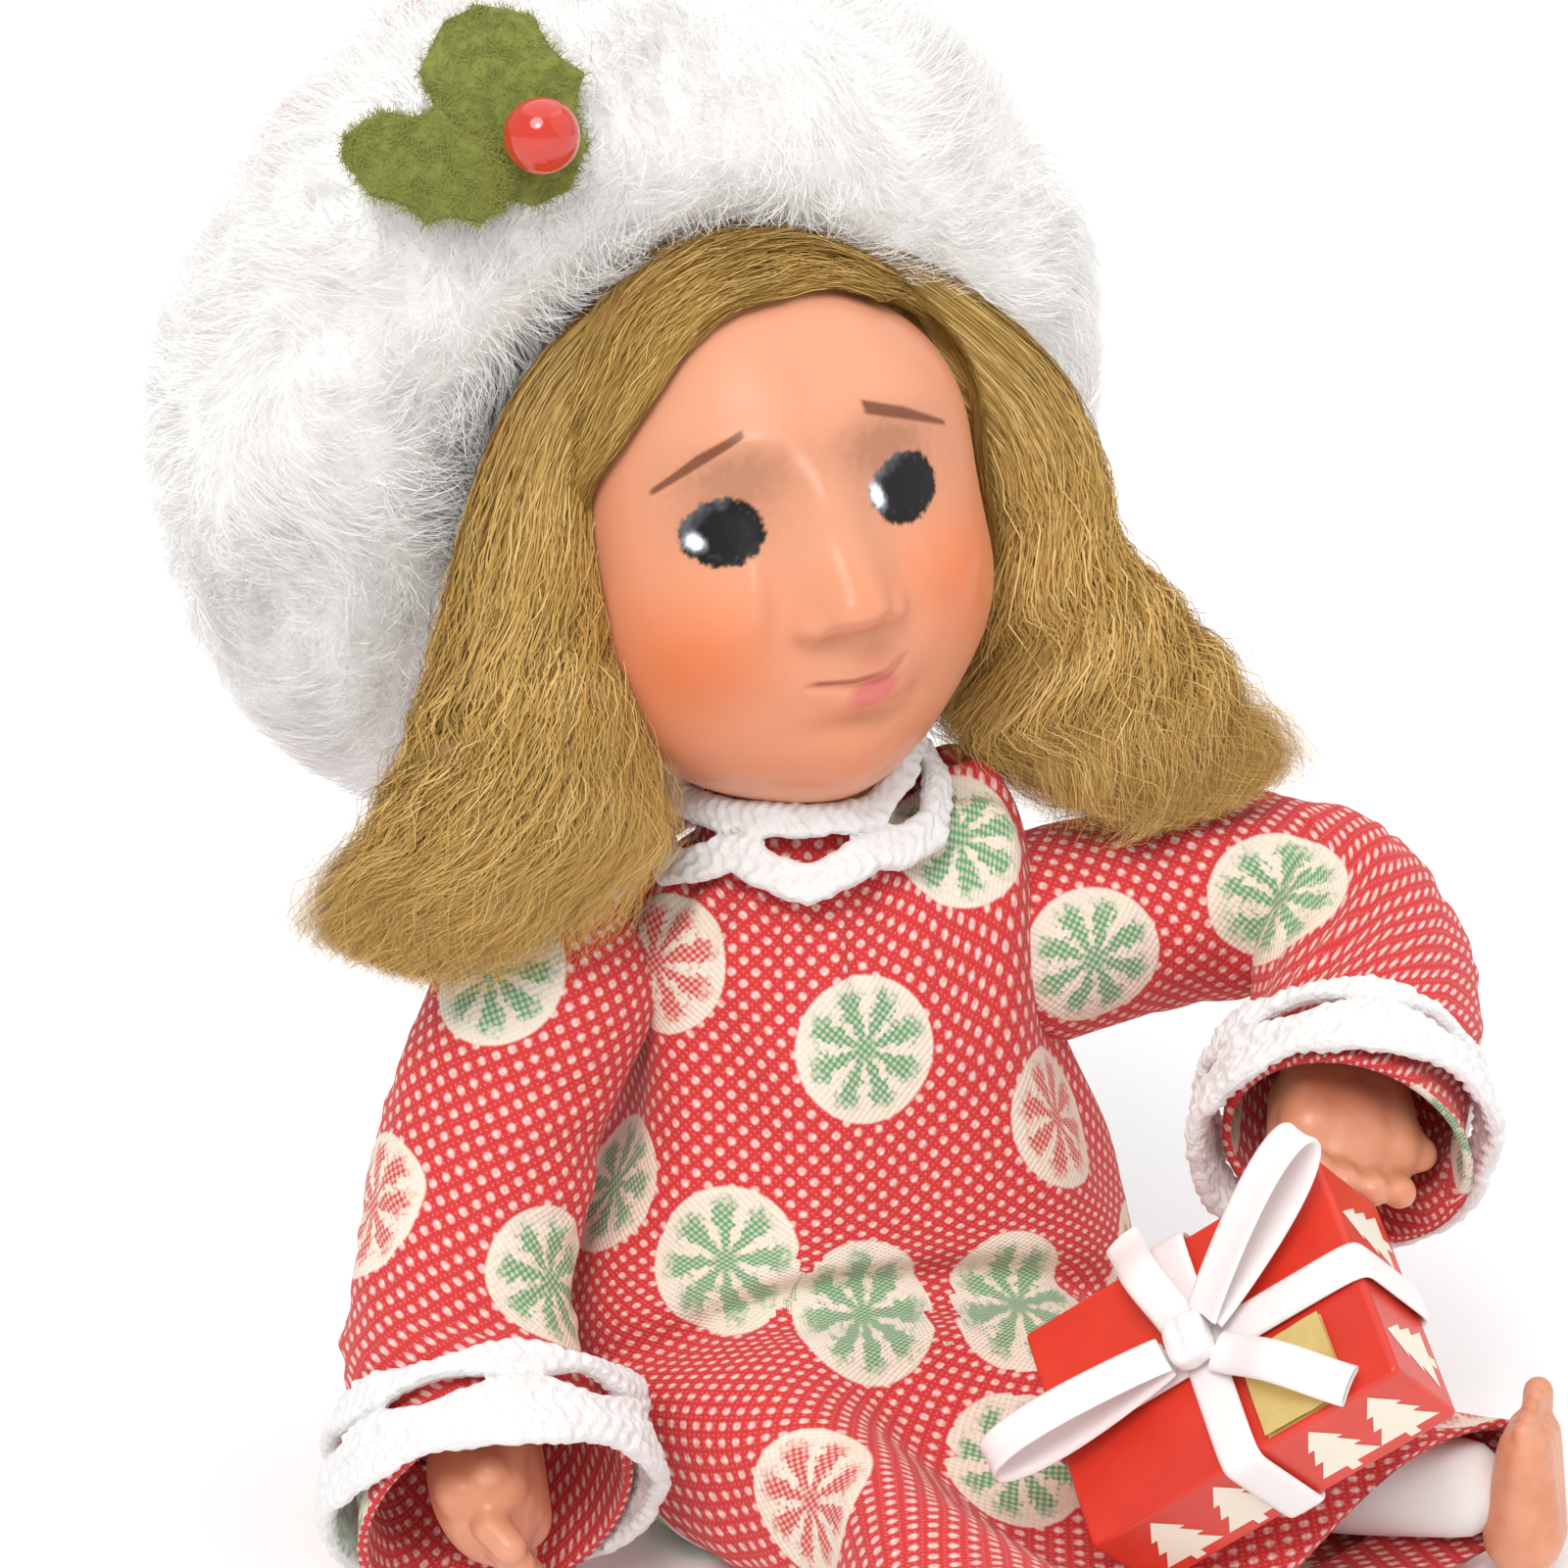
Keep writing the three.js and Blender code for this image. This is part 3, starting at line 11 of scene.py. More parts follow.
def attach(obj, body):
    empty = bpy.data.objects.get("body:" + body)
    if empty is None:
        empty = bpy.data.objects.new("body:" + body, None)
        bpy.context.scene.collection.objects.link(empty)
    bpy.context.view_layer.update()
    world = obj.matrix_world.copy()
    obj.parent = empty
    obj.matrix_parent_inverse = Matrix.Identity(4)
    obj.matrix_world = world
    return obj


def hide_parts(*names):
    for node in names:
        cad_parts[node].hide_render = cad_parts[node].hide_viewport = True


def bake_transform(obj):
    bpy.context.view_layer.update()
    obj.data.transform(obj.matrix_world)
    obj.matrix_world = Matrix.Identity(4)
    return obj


# Sizes are in millimetres; +Z is up, the figure faces -Y and its left hand is on +X.
MM = 0.001
UP = np.array([0.0, 0.0, 1.0])
CLEARANCE = 0.35

# Camera: it looks down on the figure from its right front.
VIEW_TARGET = np.array([0.0, 0.0, 59.0])
VIEW_AZIMUTH = -20.0
VIEW_ELEVATION = 15.0
VIEW_DISTANCE = 370.0
LENS = 100.0
SENSOR = 36.0
SHIFT_X = -0.0094
SHIFT_Y = 0.031

# Nightgown rings from the neck to the hem: centre x y z, lean, turn, reach to the right, left, front and
# back, squareness and sag.
GOWN_RINGS = np.array([
    (0, 0.5, 58.5, 0, 0, 8.6, 8.6, 8.6, 8.6, 2, 0),
    (0, 0.5, 55.4, 0, 0, 13, 13, 10.6, 10.6, 2, 0),
    (0, 0.5, 51, 0, 0, 16.4, 17.4, 12.6, 12, 2.1, 0),
    (0, 0.5, 44, 0, 0, 15, 21.4, 14.2, 13.5, 2.1, 0),
    (0, 0.5, 36, 0, 0, 15.2, 25, 15.6, 15.5, 2.1, 0),
    (0, 0.5, 29, 2, 0, 18.3, 28, 17, 17.4, 2.2, 0),
    (0, 0, 23.5, 10, 0, 21.2, 29.4, 17.4, 19.6, 2.3, 0),
    (0, -5.6, 14.3, 32, 0, 22.4, 29.2, 14.5, 25.5, 2.5, 0),
    (0.4, -13, 11.2, 52, 2, 19.4, 29.2, 12, 17, 2.6, 0.1),
    (1, -20.4, 9, 70, 6, 15.5, 29.6, 10.6, 11.5, 2.8, 0.42),
    (5, -28.5, 8.2, 84, 11, 15.5, 31.5, 9.2, 9, 3, 0.9),
    (11, -37.5, 8, 90, 15, 22, 34, 8.5, 8.6, 3, 1.3),
    (18, -47, 7.6, 90, 17, 30, 37, 8, 8.2, 3, 1.5),
], dtype=float)
GATHER_COUNT = 7
GATHER_DEPTH = 0.035
GOWN_ROWS = 210
GOWN_COLUMNS = 230
GOWN_LENGTH = 110.0
GOWN_HEM_TURN = 7.0
HEM_WALL = 0.7
NECKBAND_ROWS = 10
HEM_ROWS = 9
FLOOR_TOUCH = 0.05
CLOTH_WALL = 0.9
PADDING_GAP = 0.8
PADDING_DEPTH = 2.6
# The padding's first and last ring, as shares of the way down the gown.
PADDING_SHARES = (1 / 14, 10 / 14)
PADDING_ROWS = 60
PADDING_COLUMNS = 80

# Printed cotton: dots on a slanted grid, and discs kept apart by DISC_ROOM where their places aren't given.
DOT_PITCH = 1.42
DOT_RADIUS = 0.36
DISC_RADIUS = 6.25
DISC_RAYS = 8
DISC_ROOM = 18.5
# The side on which every disc's place is given, and how far cloth may turn to it and still get others.
PRINT_FRONT = np.array([-0.33, -0.91, 0.26])
PRINT_TURN = 0.2
DISC_TRIES = 3000
# A disc's offsets and kind for a point that lies on none.
NO_DISC = (99.0, 99.0, 400.0)
THREAD_PITCH = 0.37
GREEN = 0
RED = 1
# Discs on the front of the gown and sleeves: a point on the cloth and the ray colour.
GOWN_DISCS = [
    ((0.7, -13.6, 43.8), GREEN),
    ((-15.0, -5.8, 50.6), RED),
    ((-11.7, -14.2, 27.0), GREEN),
    ((19.5, -10.4, 34.6), RED),
    ((13.3, -17.9, 21.1), GREEN),
    ((9.2, -27.6, 11.8), GREEN),
    ((-10.7, -30.5, 12.0), RED),
    ((-0.8, -18.2, 22.2), GREEN),
    ((-17.4, -2.2, 30.1), GREEN),
    ((11.6, -7.0, 59.4), GREEN),
]
# Arms: the thumb is on the side given by thumb_side.
Arm = namedtuple("Arm", "shoulder elbow cuff cuff_radius discs palm_turn thumb_side")
ARMS = {
    "right": Arm(
        shoulder=np.array([-22.5, 0.0, 47.5]),
        elbow=np.array([-31.5, -5.0, 26.0]),
        cuff=np.array([-33.5, -19.0, 13.5]),
        cuff_radius=11.2,
        discs=[
            ((-29.4, -6.0, 51.4), GREEN),
            ((-25.6, -15.0, 27.6), GREEN),
            ((-41.6, -4.0, 32.6), RED),
        ],
        palm_turn=20.0,
        thumb_side=1,
    ),
    "left": Arm(
        shoulder=np.array([22.5, 0.0, 47.5]),
        elbow=np.array([46.5, -6.0, 49.2]),
        cuff=np.array([38.0, -28.0, 38.0]),
        cuff_radius=10.0,
        discs=[
            ((38.9, -12.3, 53.3), GREEN),
            ((23.6, -9.8, 48.0), GREEN),
        ],
        palm_turn=70.0,
        thumb_side=-1,
    ),
}
SLEEVE_HEAD_RADIUS = 9.3
ELBOW_RADIUS = 9.0
SLEEVE_ROWS = 120
SLEEVE_COLUMNS = 120
SLEEVE_DOME_ROWS = 24
SLEEVE_HEM_ROWS = 12
SLEEVE_LINING_ROWS = 10
SLEEVE_WALL = 0.8
# The share of the arm's length that is lined above the cuff.
SLEEVE_LINING = 9 / 40
# Where the stuffing starts and ends along the arm, and how far it lies under the cloth.
ARM_STUFFING = (0.06, 0.72)
ARM_STUFFING_DEPTH = 2.2
ARM_STUFFING_ROWS = 30
CUFF_LACE_WIDTH = 8.0
CUFF_LACE_OVERLAP = 4.5
CUFF_LACE_FLARE = 1.2
# How far the sleeve's hem shows past the lace.
SLEEVE_SHOWS = 0.5
CUFF_MOTIFS = 6
LACE_THICKNESS = 1.5
LACE_STEP = 0.17
HAND_LENGTH = 17.0
PALM_WIDTH = 9.8
PALM_DEPTH = 6.2
FINGER_RADIUS = 1.6
HAND_SETBACK = 6.0

# Legs.
LEGS = {"right": (np.array([-4.5, -9.0, 7.2]), 0.0), "left": (np.array([10.0, -7.0, 7.2]), 50.0)}
LEG_LENGTH = 49.0
LEG_PADDING_START = 22.0
LEG_ROWS = 24
THIGH_RADIUS = 5.4
SHIN_RADIUS = 4.2
FOOT_HEIGHT = 17.0
FOOT_WIDTH = 8.4
FOOT_DEPTH = 7.4
FOOT_FLOOR_GAP = 0.6

# Collar lace: radius and height of its top and of its lower edge.
COLLAR_TOP = (9.4, 63.4)
COLLAR_EDGE = (13.3, 56.6)
COLLAR_CENTRE = np.array([0.0, 0.5, 0.0])
COLLAR_POINTS = 6
# The collar's front point lies this share of a turn to the right, and its left side stands this much higher.
COLLAR_TURN = 0.045
COLLAR_RISE = 5.5
NECKBAND_HEIGHT = 3.6
NECKBAND_TAPER = 0.07
SHOULDER_RISE = 6.0

# Head.
HEAD_CENTRE = np.array([-3.0, -1.0, 85.4])
HEAD_HALF_WIDTH = 16.6
HEAD_HALF_DEPTH = 18.4
HEAD_HALF_HEIGHT = 23.2
HEAD_PITCH = -4.0
HEAD_ROLL = -10.0
HEAD_YAW = -1.5
NECK_RADIUS = 6.6
NECK_BOTTOM = 59.2
EYE_X = 7.4
EYE_Z = 3.9
# The part of the head that is modelled finest: its turn to each side, and its height from top to bottom.
FACE_TURN = 1.35
FACE_SPAN = (13.5, -15.0)
FACE_COLUMNS = 268
FACE_ROWS = 196
CLAY_GRAIN = 0.3
# Forms of the face: height, place across and its half width, place up and its half height.
PAIRED_FORMS = (
    (1.8, 9.6, 4.8, -5.0, 5.4),
    (0.45, 1.5, 0.85, -3.0, 1.1),
    (1.3, 3.1, 1.2, -4.6, 1.3),
    (0.28, 8.0, 4.5, -3.2, 2.0),
    (-0.4, 1.6, 0.9, -6.0, 0.7),
    (-0.45, 5.2, 1.2, -2.6, 3.4),
    (0.5, 6.3, 1.0, -1.8, 2.6),
    (-1.1, EYE_X, 4.0, 4.8, 3.6),
    (0.45, EYE_X, 2.8, EYE_Z, 2.4),
    (0.6, 6.5, 5.5, 10.2, 2.2),
)
SINGLE_FORMS = (
    (1.7, 0.0, 2.7, 3.6, 4.8),
    (1.4, 0.6, 3.8, -9.6, 2.9),
    (0.55, 1.6, 1.8, -8.7, 0.9),
    (0.75, 1.0, 2.1, -11.5, 1.0),
    (-0.7, 0.6, 3.4, -13.9, 1.1),
    (-0.35, 5.2, 0.8, -12.6, 1.2),
    (2.0, 0.0, 5.0, -18.0, 4.4),
)
# Eyebrows: points of x, height and half the stroke's thickness.
BROWS = (
    ((-12.2, 7.3, 0.22), (-8.6, 9.4, 0.46), (-4.9, 11.0, 0.3)),
    ((5.0, 10.9, 0.56), (8.8, 9.4, 0.52), (12.9, 7.4, 0.2)),
)

# Hair locks. Stations: centre x y z, width and thickness from the crown of the head to the ends. Edge: x and
# height of the ends. Inner and outer: height and x of the lock's two sides, from its end up.
Lock = namedtuple("Lock", "stations edge inner outer pieces seed")
LOCKS = {
    "right": Lock(
        stations=np.array([
            (-8, 2, 107, 6, 4.5),
            (-17.5, 0.5, 99, 8, 7),
            (-23.5, -1, 88.5, 10, 9),
            (-26.5, -3, 78.6, 13, 10),
            (-27.2, -4.5, 71, 18, 11),
            (-29.5, -6, 64, 25, 11),
            (-32.5, -6.8, 58, 27, 11),
            (-35.5, -7, 53.5, 24, 9),
            (-38.5, -7, 49.8, 14, 5),
        ], dtype=float),
        edge=((-44.0, -40.0, -37.5, -34.5, -27.0, -20.0, -16.0), (50.5, 48.0, 48.5, 53.5, 56.6, 58.6, 60.5)),
        inner=((50.0, 56.5, 62.9, 69.0, 77.5, 90.0), (-21.0, -18.2, -14.6, -16.4, -18.7, -19.1)),
        outer=((50.0, 56.1, 59.4, 63.1, 69.7, 78.8, 94.5), (-41.0, -43.0, -42.4, -37.6, -33.2, -30.4, -24.0)),
        pieces=6,
        seed=50,
    ),
    "left": Lock(
        stations=np.array([
            (4, 1, 107.5, 6, 4.5),
            (14.8, 1, 98.5, 9.5, 7),
            (21.8, 1, 88, 11.5, 8),
            (23.4, -0.5, 79.5, 15, 9),
            (26.2, -2, 72, 19, 10),
            (30.2, -3.6, 66, 20, 9),
            (34.8, -4.6, 61.2, 17, 7),
            (39.2, -5, 57.6, 9, 4),
        ], dtype=float),
        edge=((12.8, 16.7, 21.3, 26.8, 34.3, 42.0), (67.4, 65.2, 62.8, 60.2, 57.2, 55.2)),
        inner=((60.0, 67.4, 69.4, 74.4, 79.4, 90.0), (19.0, 12.8, 13.8, 16.2, 16.9, 17.5)),
        outer=((54.8, 58.0, 63.8, 72.1, 82.4, 96.8), (40.0, 42.4, 41.3, 35.8, 27.3, 23.6)),
        pieces=5,
        seed=51,
    ),
}
LOCK_FACING = np.array([-0.33, -0.94, 0.0])
LOCK_PIECE_STRANDS = 4000
LOCK_CLUMPS = 36
LOCK_ROWS = 60
LOCK_COLUMNS = 64
LOCK_FINE_ROWS = 240
LOCK_TRIAL_POINTS = 50
CAP_ROWS = 60
CAP_COLUMNS = 90
CAP_STRANDS = 3900
CAP_PIECES = 2
STRAND_POINTS = 26
STRAND_WIDTH = 0.105
# The hairline on the right and on the left of the face: height and place from back to front.
HAIRLINE = ((-10.0, 2.3, 8.3, 12.6, 16.7, 19.0), (-1.5, -3.6, -6.0, -9.0, -10.3, -10.6))
HAIRLINE_LEFT = ((-10.0, 5.0, 12.0, 15.5, 18.0, 19.5), (-0.5, -2.0, -3.2, -4.2, -5.6, -8.0))

# Hat: its own x runs to the figure's right, y to the top of the brim and z out of the crown.
HAT_CENTRE = np.array([-8.8, 17.0, 93.4])
HAT_AXIS = np.array([-0.03, 0.95, 0.3])
BRIM_RING_RADIUS = 27.0
BRIM_ROLL_RADIUS = 14.9
FUR_LENGTH = 4.8
FUR_STRANDS = 112000
FUR_PIECES = 4
FUR_BACKING_DEPTH = 2.0
# Hairs are thinned out towards the inside of the ring, where a roll of this radius has less room.
FUR_SPREAD = 11
BRIM_ROWS = 90
BRIM_COLUMNS = 200
CROWN_BULGE = 32.0
CROWN_HEIGHT = 34.0
CROWN_GATHERS = 11
CROWN_GATHER_DEPTH = 0.05
CROWN_ROWS = 110
CROWN_COLUMNS = 260
# The row and column of the crown's cloth on which its own disc is centred.
CROWN_DISC = (40, 130)
BERRY_RADIUS = 3.0
BERRY_PLACE = (63.0, -60.0)
LEAF_THICKNESS = 1.0
LEAF_ROWS = 90
LEAF_COLUMNS = 50
LEAF_FIBRES = 2600
# Each holly leaf: place round the brim, place on the roll, heading, length, width.
LARGE_LEAF = (61.0, -77.0, 87.0, 17.5, 13.0)
SMALL_LEAF = (56.0, -68.0, 131.0, 13.4, 8.4)

# Gift.
GIFT_SIZE = np.array([29.0, 21.0, 10.0])
GIFT_KNOT = np.array([18.4, -43.5, 25.7])
GIFT_ALONG = np.array([0.682, -0.435, 0.588])
GIFT_ACROSS = np.array([-0.071, -0.839, -0.54])
GIFT_BEVEL = 0.5
RIBBON_WIDTH = 3.4
RIBBON_THICKNESS = 0.5
RIBBON_COLUMNS = 13
STRAP_POINTS = 160
STRAP_CUP = 0.05
# How far the strap across the box lies over the one along it, and how high the bow starts.
STRAP_LIFT = 0.06
BOW_BASE = CLEARANCE * 2 + RIBBON_THICKNESS
BOW_LOOP_LENGTH = 16.0
BOW_LOOP_HEIGHT = 5.0
BOW_LOOP_TILT = 0.18
BOW_LOOP_HEADINGS = {"bow_loop_low": 188.0, "bow_loop_high": 30.0}
BOW_TAILS = {"bow_tail_upper": (104.0, 10.4), "bow_tail_lower": (-44.0, 13.0)}
KNOT_HALF = 1.9
KNOT_HEIGHT = 2.6
KNOT_COLUMNS = 60
KNOT_ROWS = 40
KNOT_SQUARENESS = 0.55
FOIL_SIZE = 7.5
FOIL_THICKNESS = 0.4
FOIL_POINTS = 40
TREE_HEIGHT = 8.0
TREE_LIFT = 0.03
TREE_FOOT = 0.9
# Places of the firs along the carton's long and short sides.
LONG_SIDE_FIRS = (-9.5, -3.5, 5.5, 11.0)
SHORT_SIDE_FIRS = (-6.0, 5.5)

# Colours, linear.
SKIN = np.array([0.74, 0.33, 0.195])
BLUSH = np.array([0.74, 0.20, 0.075])
# Airbrushed eyeshadow; the same brown is painted shadow under the nose and under the lower lip.
EYESHADOW_AND_PAINTED_SHADOW = np.array([0.40, 0.18, 0.105])
LIP = np.array([0.66, 0.17, 0.155])
MOUTH_LINE = np.array([0.36, 0.105, 0.065])
BROW = np.array([0.17, 0.055, 0.024])
EYE_DARK = np.array([0.006, 0.007, 0.009])
EYE_GREY = np.array([0.11, 0.115, 0.13])
EYE_PALE = np.array([0.36, 0.39, 0.43])
EYE_LIGHT = np.array([0.78, 0.83, 0.88])
# Painted eyes: place of the iris, half its width, and the white fleck's place and half sizes.
EYES = (
    ((-8.1, 3.6), 3.15, (-2.1, 0.15, 0.62, 0.66)),
    ((7.1, 3.85), 3.4, (-2.55, 0.75, 0.62, 1.0)),
)
COTTON_RED = (0.64, 0.040, 0.042, 1)
COTTON_DOT = (0.93, 0.66, 0.59, 1)
# Painted shade between the cotton's raised threads.
COTTON_PAINTED_SHADE = (0.3, 0.08, 0.06, 1)
CLAY_LIGHT = (0.72, 0.32, 0.19, 1)
CLAY_DARK = (0.64, 0.25, 0.13, 1)
DISC_CREAM = (0.86, 0.76, 0.63, 1)
DISC_GREEN = (0.09, 0.34, 0.145, 1)
HAIR_DARK = (0.20, 0.11, 0.018, 1)
HAIR_MID = (0.56, 0.335, 0.08, 1)
HAIR_LIGHT = (0.82, 0.58, 0.22, 1)
# Painted shade: the dark colours of the solids under the hair fibres.
HAIR_SHADE = (0.30, 0.165, 0.038, 1)
HAIR_DEEP_SHADE = (0.20, 0.105, 0.022, 1)
FUR_WHITE = (0.96, 0.945, 0.93, 1)
FUR_ROOT = (0.92, 0.90, 0.88, 1)
FUR_CLOTH = (0.95, 0.935, 0.92, 1)
LACE_WHITE = (0.80, 0.79, 0.78, 1)
FELT_GREEN = (0.22, 0.25, 0.045, 1)
FELT_DARK = (0.13, 0.155, 0.024, 1)
FELT_LIGHT = (0.25, 0.255, 0.05, 1)
BEAD_RED = (0.60, 0.035, 0.018, 1)
CARTON_RED = (0.72, 0.045, 0.022, 1)
CARTON_DARK = (0.64, 0.036, 0.018, 1)
CARTON_CREAM = (0.85, 0.79, 0.66, 1)
RIBBON_WHITE = (0.86, 0.82, 0.81, 1)
FOIL_GOLD = (0.80, 0.60, 0.22, 1)
PAPER_WHITE = (0.78, 0.75, 0.70, 1)
PAPER_GREY = (0.70, 0.66, 0.60, 1)
STOCKING_WHITE = (0.82, 0.80, 0.77, 1)
WIRE_GREY = (0.42, 0.42, 0.43, 1)
WIRE_DARK = (0.33, 0.33, 0.34, 1)
FLOOR_WHITE = (0.97, 0.97, 0.97, 1)

# Lights: where each sun shines from, how wide it looks in degrees and its strength. Metres for the rest.
SUNS = {
    "key": ((-0.55, -0.75, 0.9), 35, 1.5),
    "fill": ((0.9, -0.5, 0.6), 70, 0.5),
    "top": ((0.1, 0.2, 1.0), 80, 0.9),
}
WINDOW_PLACE = (-0.35, -0.6, 0.62)
WINDOW_AIM = (0, 0, 0.08)
WINDOW_SIZE = 0.16
WINDOW_POWER = 1.0
SKY_STRENGTH = 0.5
FLOOR_HALF = 6.0
FLOOR_DROP = 0.0002


def bump(x, width):
    return np.exp(-((x / width) ** 2))


def ease(x, low, high):
    share = np.clip((x - low) / (high - low), 0, 1)
    return share * share * (3 - 2 * share)


def unit(vectors):
    return vectors / np.maximum(np.linalg.norm(vectors, axis=-1, keepdims=True), 1e-9)


def lumps(points, size, seed):
    """Smooth random values from -1 to 1 that change over about one size."""
    table = np.random.default_rng(seed).uniform(-1, 1, 4096)
    place = np.asarray(points, dtype=float) / size
    cell = np.floor(place).astype(np.int64)
    mix = place - cell
    mix = mix * mix * (3 - 2 * mix)
    total = np.zeros(place.shape[:-1])
    for corner in np.ndindex(*(2,) * place.shape[-1]):
        key = np.zeros(place.shape[:-1], dtype=np.int64)
        weight = np.ones(place.shape[:-1])
        for axis, (side, prime) in enumerate(zip(corner, (73856093, 19349663, 83492791))):
            key ^= (cell[..., axis] + side) * prime
            weight *= mix[..., axis] if side else 1 - mix[..., axis]
        total += weight * table[key & 4095]
    return total


def lump_vectors(points, size, seed):
    """Smooth random vectors, each part with its own seed."""
    return np.stack([lumps(points, size, seed + part) for part in range(3)], axis=-1)


def spline(keys, shares):
    """Values along rows of keys, smooth through every row."""
    place = np.clip(shares, 0, 1) * (len(keys) - 1)
    low = np.minimum(place.astype(int), len(keys) - 2)
    mix = (place - low)[:, None]
    before = keys[np.maximum(low - 1, 0)]
    first = keys[low]
    second = keys[low + 1]
    after = keys[np.minimum(low + 2, len(keys) - 1)]
    start = (second - before) / 2
    end = (after - first) / 2
    square = mix * mix
    cube = square * mix
    return ((2 * cube - 3 * square + 1) * first + (cube - 2 * square + mix) * start
            + (3 * square - 2 * cube) * second + (cube - square) * end)


def grid_normals(points):
    return unit(np.cross(np.gradient(points, axis=1), np.gradient(points, axis=0)))


def run_length(points, axis):
    steps = np.linalg.norm(np.diff(points, axis=axis), axis=-1)
    total = np.cumsum(steps, axis=axis)
    return np.insert(total, 0, 0, axis=axis)


def grid_faces(rows, columns, wrap=False):
    across = columns if wrap else columns - 1
    row, column = np.meshgrid(np.arange(rows - 1), np.arange(across), indexing="ij")
    after = (column + 1) % columns
    corners = [row * columns + column, row * columns + after]
    corners += [(row + 1) * columns + after, (row + 1) * columns + column]
    return np.stack(corners, axis=-1).reshape(-1, 4)


def slab(top, under):
    """Points and faces of a sheet with an upper and a lower side."""
    quads = grid_faces(*top.shape[:2])
    faces = np.concatenate([quads, quads[:, ::-1] + top.size // 3])
    return np.concatenate([top.reshape(-1, 3), under.reshape(-1, 3)]), faces


def add_object(name, data):
    thing = bpy.data.objects.new(name, data)
    bpy.context.collection.objects.link(thing)
    return thing


def make_piece(name, points, faces, material, body, smooth=True):
    """One mesh object that rides on a body, if one is given; points are in millimetres."""
    points = np.asarray(points, dtype=float).reshape(-1, 3)
    faces = np.asarray(faces)
    mesh = bpy.data.meshes.new(name)
    mesh.vertices.add(len(points))
    mesh.vertices.foreach_set("co", (points * MM).astype(np.float32).ravel())
    mesh.loops.add(faces.size)
    mesh.loops.foreach_set("vertex_index", faces.astype(np.int32).ravel())
    mesh.polygons.add(len(faces))
    mesh.polygons.foreach_set("loop_start", np.arange(0, faces.size, faces.shape[1], dtype=np.int32))
    mesh.polygons.foreach_set("use_smooth", np.full(len(faces), smooth))
    mesh.update(calc_edges=True)
    mesh.materials.append(material)
    piece = add_object(name, mesh)
    if body:
        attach(piece, body)
    return piece


def dress(node=None):
    """Hides the model's solid that a piece stands for, if one is given."""
    if node:
        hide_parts(node)


def set_uv(piece, name, uv):
    mesh = piece.data
    corners = np.empty(len(mesh.loops), dtype=np.int32)
    mesh.loops.foreach_get("vertex_index", corners)
    layer = mesh.uv_layers.new(name=name)
    layer.uv.foreach_set("vector", uv.reshape(-1, 2)[corners].astype(np.float32).ravel())


def set_vectors(piece, name, values):
    layer = piece.data.attributes.new(name, "FLOAT_VECTOR", "POINT")
    layer.data.foreach_set("vector", values.reshape(-1, 3).astype(np.float32).ravel())


def set_colours(piece, name, values):
    colours = np.ones((len(piece.data.vertices), 4), dtype=np.float32)
    colours[:, :3] = values.reshape(-1, 3)
    layer = piece.data.color_attributes.new(name, "FLOAT_COLOR", "POINT")
    layer.data.foreach_set("color", colours.ravel())


class Paint:
    """One material; each method adds a node and returns its output socket."""

    def __init__(self, name, colour, roughness, **settings):
        self.material = bpy.data.materials.new(name)
        self.material.use_nodes = True
        self.tree = self.material.node_tree
        self.shader = self.tree.nodes["Principled BSDF"]
        self.shader.inputs["Base Color"].default_value = colour
        self.shader.inputs["Roughness"].default_value = roughness
        for socket, value in settings.items():
            self.shader.inputs[socket.replace("_", " ")].default_value = value

    def put(self, socket, value):
        if isinstance(value, bpy.types.NodeSocket):
            self.tree.links.new(value, socket)
        else:
            socket.default_value = value

    def colour(self, socket):
        self.put(self.shader.inputs["Base Color"], socket)

    def node(self, kind):
        return self.tree.nodes.new("ShaderNode" + kind)

    def math(self, operation, *values):
        node = self.node("Math")
        node.operation = operation
        for socket, value in zip(node.inputs, values):
            self.put(socket, value)
        return node.outputs[0]

    def length(self, first, second):
        squares = self.math("ADD", self.math("MULTIPLY", first, first), self.math("MULTIPLY", second, second))
        return self.math("SQRT", squares)

    def mix(self, share, first, second):
        node = self.node("Mix")
        node.data_type = "RGBA"
        for index, value in ((0, share), (6, first), (7, second)):
            self.put(node.inputs[index], value)
        return node.outputs[2]

    def ease(self, value, low, high, start=0.0, end=1.0):
        node = self.node("MapRange")
        node.interpolation_type = "SMOOTHSTEP"
        for socket, item in zip(node.inputs, (value, low, high, start, end)):
            self.put(socket, item)
        return node.outputs[0]

    def noise(self, scale, detail=2.0, vector=None):
        node = self.node("TexNoise")
        node.inputs["Scale"].default_value = scale
        node.inputs["Detail"].default_value = detail
        if vector is None:
            vector = self.node("TexCoord").outputs["Object"]
        self.put(node.inputs["Vector"], vector)
        return node.outputs[0]

    def parts(self, vector):
        node = self.node("SeparateXYZ")
        self.put(node.inputs[0], vector)
        return node.outputs

    def uv(self, name):
        node = self.node("UVMap")
        node.uv_map = name
        return node.outputs[0]

    def attribute(self, name):
        node = self.node("Attribute")
        node.attribute_name = name
        return node.outputs

    def relief(self, height, depth, strength=1.0):
        node = self.node("Bump")
        node.inputs["Strength"].default_value = strength
        node.inputs["Distance"].default_value = depth * MM
        self.put(node.inputs["Height"], height)
        self.put(self.shader.inputs["Normal"], node.outputs[0])

    def grain(self, depth, size):
        if depth:
            self.relief(self.noise(1 / (size * MM), 3.0), depth)


def plain(name, colour, roughness, grain=0.0, grain_size=0.5, **settings):
    """A material of one colour with an optional fine relief."""
    paint = Paint(name, colour, roughness, **settings)
    paint.grain(grain, grain_size)
    return paint.material


